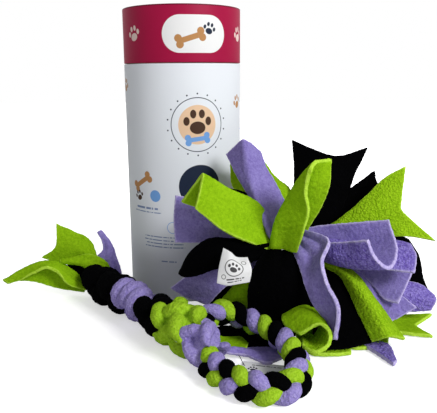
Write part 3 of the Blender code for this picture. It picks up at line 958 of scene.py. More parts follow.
BALL_STRIPS = (
    LaidStrip("strip_left_upper_lime", LIME, (
        ((270, 250, 22), (253, 243.5, 31), (228, 233, 40), (196, 208.5, 47)),
        ((276, 226, 12), (254, 200, 24), (229.6, 187.4, 36), (203.5, 173.5, 46)),
        ((272, 240, 6), (245, 222, 10), (215, 212, 20), (182.5, 201.5, 28))), 0.9, Face.NEITHER),
    LaidStrip("strip_top_lavender", LAVENDER, (
        ((267, 238, 20), (254, 203, 13), (238, 175, -4), (226.6, 154.6, -20)),
        ((270, 238, 25), (257, 203, 20), (249.5, 175, 7), (242.6, 139.5, -6)),
        ((279, 238, 18), (284.5, 204, 8), (273, 182, -4), (258.6, 153, -18))), 0.9),
    LaidStrip("strip_top_back_lime", LIME, (
        ((272, 230, -4), (241, 195, -12), (232, 184, -24), (230.5, 164, -34)),
        ((285, 228, -6), (290.5, 194, -14), (277, 178, -27), (262, 162, -38))), bow=3.0),
    LaidStrip("strip_front_lime", LIME, (
        ((301, 240, 14), (311, 221, 24), (322, 203, 34), (327.5, 188, 42), (330.5, 160, 56)),
        ((270, 248, 26), (275, 220, 34), (291, 192, 46), (304, 174, 56), (316, 162, 62)),
        ((297, 251, 32), (303.5, 232, 43), (308.5, 210, 52), (305.5, 190, 60), (309.5, 170, 67))), 0.8,
        Face.NEITHER),
    LaidStrip("strip_top_black", BLACK, (
        ((292, 232, 0), (294, 200, -5), (294.5, 168, -14), (292.6, 141.5, -22)),
        ((305, 232, 4), (318, 195, 2), (327, 172, -8), (331.4, 157, -14)),
        ((315, 232, 0), (340, 209, -10), (353, 178, -20), (366.5, 148.3, -32))), 0.35),
    LaidStrip("strip_top_right_black", BLACK, (
        ((305, 230, -5), (330, 205, -12), (351, 189, -18), (373, 172.5, -26)),
        ((312, 238, -4), (346, 215, -10), (378, 185, -22)))),
    LaidStrip("strip_right_lime", LIME, (
        ((305, 236, 2), (338, 220, 2), (366, 196, 2), (384, 178.5, 1), (405, 167, -2)),
        ((306, 238, 3), (350, 226, 8), (385, 213, 9), (400, 209.6, 9)),
        ((306, 243, 2), (350, 240, 8), (394, 236, 10), (414, 236.5, 9), (434.5, 240.5, 6))), 0.85,
        Face.FRONT),
    LaidStrip("strip_right_upper_lavender", LAVENDER, (
        ((300, 230, 4), (322, 226, 8), (350, 223.5, 17), (388, 220.5, 28)),
        ((301, 238, 0), (335, 247, 12), (372, 249, 25), (397, 251, 38)),
        ((302, 246, 4), (333, 262, 22), (360, 268, 37), (388, 268, 50)),
        ((301, 247, 12), (328, 258, 32), (352, 259, 46), (374, 257, 58)),
        ((300, 238, 18), (331, 243, 35), (350, 242, 46), (367, 240.5, 58))), 0.0),
    LaidStrip("strip_front_lavender", LAVENDER, (
        ((302, 230, 22), (330, 242, 42), (321.5, 261, 54), (326, 284, 60), (338, 305, 66), (335, 338, 66)),
        ((291, 247, 24), (297, 259, 34), (305, 281, 42), (314, 303, 48), (328, 322, 50), (331, 339, 52))),
        bow=-1.0),
    LaidStrip("strip_front_black", BLACK, (
        ((298, 248, 22), (303, 272, 34), (308, 292, 37), (314, 308, 32), (318, 322, 28)),
        ((283, 250, 26), (280, 274, 42), (280, 299, 38), (281, 322, 27), (281, 341, 22)),
        ((268, 248, 22), (256, 264, 36), (249.5, 285, 40), (248.5, 312, 30), (252, 343, 25))), 0.3),
    LaidStrip("strip_low_right_lime", LIME, (
        ((318, 255, 10), (356, 275.5, 25), (378, 303, 32), (403, 339, 34)),
        ((314, 258, 18), (347, 275, 35), (369, 303, 44), (388, 336.5, 48)),
        ((308, 262, 12), (338, 273, 26), (352, 296, 34), (362, 318, 38), (372.5, 341, 40))), 0.2, Face.FRONT),
    LaidStrip("strip_low_front_black", BLACK, (
        ((312, 258, 14), (345, 285, 28), (374, 341, 36)),
        ((306, 262, 18), (330, 305, 38), (345, 348, 44)),
        ((298, 262, 14), (312, 312, 36), (314, 349, 44))), 0.3),
    LaidStrip("strip_right_mid_lavender", LAVENDER, (
        ((310, 256, -2), (345, 262, 4), (372, 284, 12), (385, 299.5, 20), (398, 303, 24)),
        ((308, 246, 0), (350, 250, 6), (390, 262, 14), (413, 269, 20)),
        ((306, 238, 4), (350, 234, 8), (388, 239, 14), (409, 244, 18)),
        ((308, 243, 12), (350, 248, 20), (390, 254, 30), (416, 256, 32)),
        ((310, 248, 14), (350, 262, 26), (388, 269, 34), (414, 272.5, 36))), 0.8, Face.FRONT),
    LaidStrip("strip_right_low_lavender", LAVENDER, (
        ((315, 252, 2), (362, 274, 8), (400, 295, 15), (415.5, 307.5, 18)),
        ((312, 262, 2), (350, 290, 10), (372, 306, 16), (392, 320.5, 18)))),
    LaidStrip("strip_far_right_lavender", LAVENDER, (
        ((315, 246, -8), (368, 264, -8), (402, 281, -6), (420, 285, -6), (434, 295, -8)),
        ((314, 252, -6), (368, 278, 0), (404, 296, 4), (435, 301, 0)),
        ((312, 256, -8), (364, 290, -4), (402, 309, -2), (430, 309, -4))), 0.3, Face.FRONT),
    LaidStrip("strip_far_right_black", BLACK, (
        ((312, 236, -10), (360, 232, -20), (394, 234, -28), (407, 239, -30)),
        ((312, 242, -8), (368, 246, -18), (418, 256, -30)),
        ((312, 248, -8), (365, 262, -16), (422, 278, -28)),
        ((312, 252, -8), (362, 278, -14), (400, 292, -22), (427, 291, -24))), 0.2),
    LaidStrip("strip_floor_far_right_lime", LIME, (
        ((318, 262, -10), (368, 300, -18), (406, 317, -20), (431, 316.5, -22)),
        ((318, 264, -8), (372, 308, -8), (400, 325, -4), (414, 329, 0)),
        ((318, 268, -6), (365, 312, 4), (400, 334, 12), (431, 340, 18))), 0.9),
    LaidStrip("strip_floor_right_lime", LIME, (
        ((310, 282, 8), (345, 330, 24), (360, 345, 30), (372, 341.5, 28), (388, 337.5, 24)),
        ((304, 284, 10), (334, 340, 28), (357, 352, 36), (372, 351, 34), (387, 345, 30))), 0.3, Face.FRONT),
    LaidStrip("strip_floor_right_lavender", LAVENDER, (
        ((309, 280, 6), (355, 325, 16), (386, 346, 30), (396, 366, 57)),
        ((302, 282, 8), (345, 332, 22), (372, 352, 40), (393, 368, 60))), 0.6, Face.FRONT),
    LaidStrip("strip_rolled_lime", LIME, (
        ((300, 272, 12), (300, 305, 16), (302, 338, 40), (303, 344, 60)),
        ((302, 270, 12), (305, 305, 16), (312, 341, 44), (313, 350.5, 66)),
        ((302, 268, 12), (308, 302, 18), (323, 333, 48), (327, 345, 66)),
        ((300, 266, 12), (306, 299, 21), (322, 318, 48), (330.5, 333, 64)),
        ((296, 266, 12), (298, 298, 22), (308, 313, 46), (321, 324, 60)),
        ((290, 268, 12), (286, 303, 20), (285, 325, 42), (300, 334, 56))), 0.0),
    LaidStrip("strip_floor_front_lime", LIME, (
        ((298, 288, 10), (304, 334, 24), (320, 350.5, 36), (350, 350, 36)),
        ((293, 290, 12), (298, 340, 28), (312, 357, 44), (330, 358.5, 46), (350, 355, 44))), 0.3, Face.FRONT),
    LaidStrip("strip_left_lavender", LAVENDER, (
        ((262, 246, 4), (220, 242, 10), (176, 242, 10)),
        ((262, 238, 8), (220, 222, 14), (174.5, 220, 14)),
        ((264, 232, 4), (220, 205, 8), (176, 196, 8))), 0.3),
    LaidStrip("strip_left_black", BLACK, (
        ((268, 254, 22), (240, 264, 36), (215, 268, 38), (200, 274, 36), (186, 276.5, 33)),
        ((268, 246, 24), (238, 252, 38), (210, 256, 42), (181, 275, 35)),
        ((268, 240, 20), (236, 240, 28), (206, 240, 32), (189, 254, 32), (178.5, 272, 30))), 0.4),
    LaidStrip("strip_left_low_lavender", LAVENDER, (
        ((266, 264, 14), (242, 274, 20), (220, 291, 20), (208, 304.5, 14)),
        ((266, 258, 18), (230, 274, 22), (190, 298, 12)),
        ((266, 254, 14), (222, 260, 18), (194, 272, 14), (171.5, 288, 6))), 0.4),
    LaidStrip("strip_left_low_lime", LIME, (
        ((270, 268, 14), (251, 284, 24), (248, 300, 24), (246, 317, 20)),
        ((266, 268, 14), (242, 286, 24), (234, 300, 22), (230, 316, 14)),
        ((262, 266, 8), (236, 284, 14), (223, 300, 8), (212, 314, 0))), 0.2),
    LaidStrip("strip_left_low_black", BLACK, (
        ((264, 268, 2), (240, 288, 4), (222, 314, -6)),
        ((260, 262, -2), (224, 282, -2), (204, 307, -12)))),
    LaidStrip("strip_left_upper_black", BLACK, (
        ((262, 240, 2), (238, 216, 2), (208, 214, -6)),
        ((268, 226, 0), (251, 196.5, 2), (236, 190, -6), (214, 188, -14)))),
    LaidStrip("strip_back_top_black", BLACK, (
        ((290, 226, -15), (297, 200, -36), (299, 172, -58)),
        ((302, 226, -14), (322, 200, -34), (340, 176, -52)))),
    LaidStrip("strip_back_right_lavender", LAVENDER, (
        ((300, 234, -16), (335, 222, -40), (362, 210, -66)),
        ((300, 246, -14), (340, 246, -40), (376, 246, -64)))),
    Strip("strip_back_left_black", BLACK, (130, 0), (122, -15), 0.70, (120, 40), 20, 1.0, 0.8),
    Strip("strip_back_lime", LIME, (85, 5), (80, -8), 0.95, (0, 20), 30),
    Strip("strip_back_low_lime", LIME, (60, -35), (58, -33), 1.10, (300, 70), 20),
    Strip("strip_back_low_black", BLACK, (95, -35), (88, -33), 1.00, (300, 70), 40),
)

TASSEL_TAILS = (
    LaidStrip("tassel_upper_lime", LIME, (
        ((98, 268, 2), (80, 264, 0), (62, 262.5, -2), (42.5, 257.5, -6)),
        ((97, 262, 6), (82, 249, 4), (70, 246, 2), (57, 246, -2)),
        ((95, 258, -2), (93.5, 247, -4), (87, 239, -6), (73, 231.5, -8), (57, 224.5, -10))), 0.3),
    LaidStrip("tassel_long_lime", LIME, (
        ((84, 292, 2), (62, 288.5, 4), (35, 281.5, 8), (18, 280.5, 10), (8, 283.5, 12)),
        ((88, 284, 4), (76, 273, 8), (60, 262.8, 11), (43, 262.2, 12), (22, 270, 14), (3.5, 279.5, 14)),
        ((86, 290, 14), (68, 284, 18), (57, 271, 22), (47, 266.5, 23), (34, 272.5, 21), (20, 280, 16),
         (8, 282, 16))), 0.55, Face.NEITHER),
    LaidStrip("tassel_lavender", LAVENDER, (
        ((100, 268, 2), (98, 256, 2), (103, 250, -2), (102.5, 242, -4), (98, 232.5, -6)),
        ((121, 274, -2), (117.5, 262, -5), (111, 248, -7), (106, 239, -8), (100, 232, -8))), bow=2.0),
    LaidStrip("tassel_short_lime", LIME, (
        ((107, 277, 0), (101, 268.5, 10), (91, 269, 12), (80, 265.5, 12), (64, 263.5, 10)),
        ((109, 271, -2), (104, 261, 8), (94, 256.5, 10), (76, 258, 10), (61, 261.5, 9))), bow=3.0),
    LaidStrip("tassel_short_black", BLACK, (
        ((98, 290, 4), (85, 288, 0), (72, 282, -4)),
        ((98, 268, 2), (84, 264, -4), (68, 262, -8))), bow=2.0),
)

LOOP_TAILS = (
    # A black sheet with no CAD node, laid low behind the far plait to darken the inside of the loop: partly a
    # guessed black tail, partly painted shade.
    LaidStrip("loop_tail_black", BLACK, (
        ((206, 331, -14), (222, 328.5, -57), (244, 329.5, -55), (264, 338, -41), (282, 343, -33)),
        ((206, 347, 0), (216, 348.5, -28), (232, 352.5, -22), (252, 354, -18), (272, 352, -21))), 0.4,
        own_node=False),
    LaidStrip("loop_tail_lime", LIME, (
        ((206, 336, -8), (222, 338, -36), (240, 339.5, -39), (248.5, 345, -31)),
        ((206, 344, 0), (214, 347, -22), (230, 351.5, -19), (244, 356, -13))), 0.4, bow=2.0),
    LaidStrip("loop_tail_lavender", LAVENDER, (
        ((208, 346, -2), (240, 351, -20), (262, 350, -22), (283, 351, -20)),
        ((208, 350, 2), (246, 357, -10), (268, 365, 0), (282, 360, -7))), 0.4, bow=2.0),
)


def through(points: np.ndarray, stops: np.ndarray, shares: np.ndarray) -> np.ndarray:
    """Return a smooth curve through points.

    Args:
        points: The points, in rows.
        stops: Where each point lies along the curve, from 0 to 1.
        shares: Where to read the curve.

    Returns:
        A point for each share.
    """
    slopes = np.gradient(points, stops, axis=0)
    first = np.clip(np.searchsorted(stops, shares, side="right") - 1, 0, len(stops) - 2)
    gap = (stops[first + 1] - stops[first])[:, None]
    part = (shares - stops[first])[:, None] / gap
    back = part * part * (3.0 - 2.0 * part)
    return (points[first] * (1.0 - back) + points[first + 1] * back
            + slopes[first] * gap * part * (1.0 - part) ** 2
            - slopes[first + 1] * gap * part ** 2 * (1.0 - part))


def spaced(points: np.ndarray) -> np.ndarray:
    """Return where each point of a row lies along it, from 0 to 1."""
    steps = np.concatenate([[0.0], np.cumsum(np.linalg.norm(np.diff(points, axis=0), axis=1))])
    return steps / steps[-1]


@dataclass
class StripMaker:
    """Bends flat fleece strips from the hub that pinches them."""

    hub: Vector
    root_radius: float
    reach: float
    width: float
    thickness: float = 0.0030
    root_width: float = 0.62
    floor_gap: float = 0.0003
    floor_ease: float = 0.0016
    gather: float = 0.0014
    flutter: float = 0.0016
    fuzz: float = 0.00035
    fuzz_pace: float = 420.0
    whole_share: float = 0.9
    stations: int = 36
    across: int = 21
    thin_root: float = 0.75
    thin_share: float = 0.3
    guide_share: float = 0.45
    narrow_share: float = 0.7
    root_fold: float = 0.45
    more_fold: float = 0.55
    fold_share: float = 0.35
    pleats: float = 2.5
    pleat_share: float = 0.5
    wave_pace: Pair = (2.3, 1.1)
    rim_pace: float = 4.5
    rim_share: float = 0.4
    floor_far: float = 30.0

    def section(self, width: float, fold: float, crease: float) -> list[Pair]:
        """Return points across a strip that is bent lengthwise, its arms falling off its face.

        Args:
            width: The strip's width.
            fold: Degrees that it is folded by.
            crease: How sharp the fold is.

        Returns:
            How far across and how far up each point lies from the middle.
        """
        fine = 4
        steps = fine * (self.across - 1)
        beside, drop = [0.0], [0.0]
        for step in range(steps):
            place = 2.0 * (step + 0.5) / steps - 1.0
            angle = -math.radians(fold) / 2.0 * math.tanh(crease * place) / math.tanh(crease)
            beside.append(beside[-1] + math.cos(angle) * width / steps)
            drop.append(drop[-1] + math.sin(angle) * width / steps)
        middle = steps // 2
        return [(beside[i] - beside[middle], drop[i] - drop[middle]) for i in range(0, steps + 1, fine)]

    def aimed(self, strip: Strip) -> np.ndarray:
        """Return the middle surface of a strip that is given by directions.

        Args:
            strip: The strip.

        Returns:
            Points in rows, from the root to the cut end.
        """
        start = self.hub + aim(strip.root) * self.root_radius
        tip = self.hub + aim(strip.tip) * (self.reach * strip.reach_share)
        guide = start + aim(strip.root) * ((tip - start).length * self.guide_share)
        face = aim(strip.face)
        grid = np.zeros((self.stations, self.across, 3))
        for station in range(self.stations):
            share = station / (self.stations - 1)
            rest = 1.0 - share
            centre = start * rest * rest + guide * (2.0 * share * rest) + tip * share * share
            along = ((guide - start) * rest + (tip - guide) * share).normalized()
            normal = (face - along * face.dot(along)).normalized()
            side = along.cross(normal)
            narrow = self.root_width + (1.0 - self.root_width) * ease(share / self.narrow_share)
            width = self.width * strip.width_share * narrow
            fold = strip.fold * (self.root_fold + self.more_fold * ease(share / self.fold_share))
            for index, (beside, drop) in enumerate(self.section(width, fold, strip.crease)):
                grid[station, index] = centre + side * beside + normal * drop
        return grid

    def laid(self, strip: LaidStrip) -> np.ndarray:
        """Return the middle surface of a strip that is given by rails.

        Args:
            strip: The strip.

        Returns:
            Points in rows, from the root to the cut end.
        """
        depth = VIEW.depth(self.hub)
        shares = np.linspace(0.0, 1.0, self.stations)
        rails = []
        for rail in strip.rails:
            points = np.array([VIEW.place(across, down, depth - near / 1000.0)
                               for across, down, near in rail])
            rails.append(through(points, spaced(points), shares))
        rails = np.array(rails)
        outer = range(self.stations // 4, self.stations)
        stops = np.mean([spaced(rails[:, station]) for station in outer], axis=0)
        places = np.linspace(0.0, 1.0, self.across)
        grid = np.zeros((self.stations, self.across, 3))
        for station in range(self.stations):
            points = rails[:, station]
            straight = np.stack([np.interp(places, stops, points[:, axis]) for axis in range(3)], axis=1)
            smooth = through(points, stops, places)
            grid[station] = straight * strip.crisp + smooth * (1.0 - strip.crisp)
        arch = (1.0 - (2.0 * places - 1.0) ** 2)[None, :]
        bulge = strip.bow / 1000.0 * arch * np.minimum(1.0, shares * 3.0)[:, None]
        return grid + sheet_normals(grid) * bulge[:, :, None]

    def rows(self, strip: Strip | LaidStrip, seed: float) -> np.ndarray:
        """Return the strip's middle surface with its waves, clear of the hub and the floor.

        Args:
            strip: The strip.
            seed: Where its waves start.

        Returns:
            Points in rows, from the root to the cut end.
        """
        grid = self.laid(strip) if isinstance(strip, LaidStrip) else self.aimed(strip)
        normals = sheet_normals(grid)
        low = self.floor_gap + self.thickness / 2.0
        long_pace, side_pace = self.wave_pace
        for station in range(self.stations):
            share = station / (self.stations - 1)
            spread = ease(share / self.pleat_share)
            pleat = self.gather * (1.0 - spread)
            rim = self.flutter * ease(share / self.rim_share)
            for index in range(self.across):
                place = 2.0 * index / (self.across - 1) - 1.0
                wave = pleat * math.cos(place * self.pleats * math.pi + seed)
                wave += self.flutter * spread * ripple(share * long_pace + seed, place * side_pace, seed)
                wave += rim * place * place * ripple(share * self.rim_pace, place, seed)
                point = Vector(grid[station, index] + normals[station, index] * wave)
                over = (point.z - low) / self.floor_ease
                if over < self.floor_far:
                    point.z = low + self.floor_ease * math.log1p(math.exp(over))
                out = point - self.hub
                grid[station, index] = self.hub + out * max(1.0, self.root_radius / out.length)
        return grid

    def mesh(self, strip: Strip | LaidStrip, seed: float) -> tuple[bpy.types.Mesh, Pair]:
        """Make the strip's closed mesh.

        Args:
            strip: The strip.
            seed: Where its waves start.

        Returns:
            The mesh, and the strip's cut width and length.
        """
        grid = self.rows(strip, seed)
        shares = np.linspace(0.0, 1.0, self.stations)
        thinned = self.thin_root + (1.0 - self.thin_root) * np.clip(shares / self.thin_share, 0.0, 1.0)
        half = self.thickness / 2.0 * thinned
        mesh = closed_sheet(strip.name, grid, half, strip.curled)
        length = float(np.linalg.norm(np.diff(grid[:, self.across // 2], axis=0), axis=1).sum())
        width = float(np.linalg.norm(np.diff(grid, axis=1), axis=2).sum(axis=1).max())
        return mesh, (width, length)

    def cloth(self, strip: Strip | LaidStrip, seed: float, body: str, rests_on: str) -> bpy.types.Object:
        """Make a strip's piece, with its fuzz, in place of its CAD node.

        Args:
            strip: The strip.
            seed: Where its waves start.
            body: The body that it rides on.
            rests_on: Not used.

        Returns:
            The piece.
        """
        mesh, flat = self.mesh(strip, seed)
        piece = shown(strip.name + "_cloth", mesh, strip.fleece.material())
        finer = piece.modifiers.new("finer", "SUBSURF")
        finer.levels = finer.render_levels = 1
        baked(piece)
        roughen(piece.data, self.fuzz_pace, self.fuzz, self.floor_gap)
        stand_for(piece, body, strip.fleece.name, *[strip.name] * strip.own_node)
        area = cloth_area(piece.data)
        return piece


def cloth_area(mesh: bpy.types.Mesh) -> float:
    """Return the area of one face of a thin closed sheet."""
    areas = np.zeros(len(mesh.polygons))
    mesh.polygons.foreach_get("area", areas)
    return float(areas.sum()) / 2.0


def unit(vectors: np.ndarray) -> np.ndarray:
    """Return the vectors with a length of one."""
    return vectors / np.maximum(np.linalg.norm(vectors, axis=-1, keepdims=True), 1e-12)


def sheet_normals(grid: np.ndarray) -> np.ndarray:
    """Return the way that each point of a surface of rows looks."""
    return unit(np.cross(unit(np.gradient(grid, axis=1)), unit(np.gradient(grid, axis=0))))


EDGE_POINTS = 3
EDGE_REACH = 0.75
EDGE_TUCK = 0.15
EDGE_NAP = 0.6
ROOT_RING = (-0.4, 0.55, 0.3)
SIDE_RING = (0.0, 1.0, 0.45)
END_RINGS = ((0.38, 0.86, 0.35), (0.50, 0.40, 0.15))


def closed_sheet(name: str, grid: np.ndarray, half: np.ndarray, curled: Face) -> bpy.types.Mesh:
    """Give a middle surface its thickness and square, slightly soft cut edges.

    Args:
        name: The mesh's name.
        grid: Points in rows, from one end to the other.
        half: Half the thickness at each row.
        curled: Which face is curled.

    Returns:
        The closed mesh, with its nap.
    """
    tall, wide = grid.shape[:2]
    beside = unit(np.gradient(grid, axis=1))
    along = unit(np.gradient(grid, axis=0))
    normal = sheet_normals(grid)

    def ring(row: int, shift: float, thin: float, out: float) -> np.ndarray:
        """Return one closed ring of points round a row.

        Args:
            row: The row.
            shift: How far along it is moved, in half thicknesses.
            thin: The share of the thickness that it has.
            out: How far its cut edges stand out, in half thicknesses.

        Returns:
            The ring's points.
        """
        size = half[row] * thin
        middle = grid[row] + along[row] * (half[row] * shift)
        front, back = middle + normal[row] * size, middle - normal[row] * size
        left, right = -beside[row, :1] * (half[row] * out), beside[row, -1:] * (half[row] * out)
        tuck_right, tuck_left = normal[row, -1:] * size * EDGE_TUCK, normal[row, :1] * size * EDGE_TUCK
        edge_right = [front[-1:] + right * EDGE_REACH - tuck_right, middle[-1:] + right,
                      back[-1:] + right * EDGE_REACH + tuck_right]
        edge_left = [back[:1] + left * EDGE_REACH + tuck_left, middle[:1] + left,
                     front[:1] + left * EDGE_REACH - tuck_left]
        return np.concatenate([front, *edge_right, back[::-1], *edge_left])

    rings = [ring(0, *ROOT_RING)]
    rings += [ring(row, *SIDE_RING) for row in range(tall)]
    rings += [ring(tall - 1, *sizes) for sizes in END_RINGS]
    around = 2 * (wide + EDGE_POINTS)
    points = np.concatenate(rings)
    faces = []
    for row in range(len(rings) - 1):
        for step in range(around):
            after = (step + 1) % around
            faces.append((row * around + step, (row + 1) * around + step,
                          (row + 1) * around + after, row * around + after))
    for first in (0, (len(rings) - 1) * around):
        for step in range(wide + 1):
            faces.append((first + (step - 1) % around, first + step,
                          first + around - 4 - step, first + around - 3 - step))
        faces.append((first + wide, first + wide + 1, first + wide + 2))
        faces.append((first + around - 3, first + around - 2, first + around - 1))
    face_nap = np.ones(wide)
    face_nap[[0, -1]] = EDGE_NAP
    edge_nap = np.zeros(EDGE_POINTS)
    one = np.concatenate([face_nap * curled.value[0], edge_nap, face_nap * curled.value[1], edge_nap])
    nap = np.concatenate([np.zeros(around), np.tile(one, tall - 1), one * EDGE_NAP, np.zeros(2 * around)])
    mesh = bpy.data.meshes.new(name)
    mesh.from_pydata([tuple(point) for point in points], [], faces)
    set_nap(mesh, nap)
    shape = bmesh.new()
    shape.from_mesh(mesh)
    return outward(shape, mesh)


def lay_out(mesh: bpy.types.Mesh, tall: int, wide: int, width: float, height: float) -> None:
    """Give a closed sheet the places in metres, across and up, by which marks are printed on it.

    Args:
        mesh: The mesh of a sheet from closed_sheet.
        tall: Its rows.
        wide: Its columns.
        width: Its width.
        height: Its height.
    """
    shares = np.linspace(0.0, 1.0, wide)
    across = np.concatenate([shares, np.ones(EDGE_POINTS), shares[::-1], np.zeros(EDGE_POINTS)]) * width
    up = np.concatenate([[0.0], np.linspace(0.0, 1.0, tall), [1.0, 1.0]]) * height
    for name, values in (("across", np.tile(across, len(up))), ("up", np.repeat(up, len(across)))):
        mesh.attributes.new(name, "FLOAT", "POINT").data.foreach_set("value", values)


class PieceTree:
    """A geometry node tree with named inputs, which ends in plain mesh of one finish."""

    def __init__(self, name: str, **kinds: str) -> None:
        """Make the tree and its inputs.

        Args:
            name: The tree's name.
            kinds: The kind of socket of each input, by the input's name.
        """
        self.tree = bpy.data.node_groups.new(name, "GeometryNodeTree")
        self.keys = {}
        for label, kind in {"Geometry": "Geometry", **kinds, "Finish": "Material"}.items():
            socket = self.tree.interface.new_socket(label, in_out="INPUT", socket_type="NodeSocket" + kind)
            self.keys[label] = socket.identifier
        self.tree.interface.new_socket("Geometry", in_out="OUTPUT", socket_type="NodeSocketGeometry")
        self.graph = Graph(self.tree)
        given = self.tree.nodes.new("NodeGroupInput")
        self.wires = {socket.name: Wire(self.graph, socket) for socket in given.outputs if socket.name}

    def close(self, form: Wire) -> None:
        """Send a form out of the tree as plain mesh in its finish."""
        solid = self.graph.node("GeometryNodeRealizeInstances", {"Geometry": form})
        done = self.graph.node("GeometryNodeSetMaterial",
                               {"Geometry": solid, "Material": self.wires["Finish"]})
        self.graph.node("NodeGroupOutput", {0: done})

    def grow(self, source: bpy.types.Object, **inputs: object) -> bpy.types.Mesh:
        """Return the mesh that the tree makes of an object.

        Args:
            source: The object, whose modifiers are removed afterwards.
            inputs: The value of each input, by its name.

        Returns:
            The plain mesh.
        """
        modifier = source.modifiers.new("grow", "NODES")
        modifier.node_group = self.tree
        for label, value in inputs.items():
            modifier[self.keys[label]] = value
        mesh = evaluated(source)
        source.modifiers.clear()
        return mesh


class CopyTree(PieceTree):
    """Sets copies of an object on points, turned and sized by the points' attributes."""

    def __init__(self) -> None:
        """Build the tree."""
        super().__init__("copies_on_points", Copy="Object", Uneven="Float", Seed="Int")
        graph, wires = self.graph, self.wires
        source = graph.node("GeometryNodeObjectInfo", {"Object": wires["Copy"]}, "Geometry")
        turn = graph.node("GeometryNodeInputNamedAttribute", {"Name": "turn"}, data_type="FLOAT_VECTOR")
        swell = graph.node("GeometryNodeInputNamedAttribute", {"Name": "swell"}, data_type="FLOAT_VECTOR")
        chance = graph.node("FunctionNodeRandomValue", {"Seed": wires["Seed"], 2: -1.0, 3: 1.0}, 1,
                            data_type="FLOAT")
        factor = 1.0 + chance * wires["Uneven"]
        turned_by = graph.node("FunctionNodeEulerToRotation", {"Euler": turn})
        copies = graph.node("GeometryNodeInstanceOnPoints", {
            "Points": wires["Geometry"], "Instance": source, "Rotation": turned_by,
            "Scale": graph.scaled(swell, factor)})
        self.close(copies)

    def run(self, name: str, places: list[tuple[Vector, Matrix, Vector]], copy: bpy.types.Object,
            material: bpy.types.Material, uneven: float, seed: int) -> bpy.types.Object:
        """Set the copies.

        Args:
            name: The new piece's name.
            places: Point, turn and size of each copy.
            copy: The object that is copied, which is removed by its maker.
            material: The material of all copies.
            uneven: How much the copies differ in size.
            seed: The chance's seed.

        Returns:
            One piece with every copy as plain mesh.
        """
        mesh = bpy.data.meshes.new(name)
        mesh.from_pydata([tuple(point) for point, _, _ in places], [], [])
        for label, column in (("turn", [turn.to_euler() for _, turn, _ in places]),
                              ("swell", [swell for _, _, swell in places])):
            layer = mesh.attributes.new(label, "FLOAT_VECTOR", "POINT")
            layer.data.foreach_set("vector", [part for row in column for part in row])
        piece = shown(name, mesh, material)
        piece.data = self.grow(piece, Copy=copy, Uneven=uneven, Seed=seed, Finish=material)
        return piece


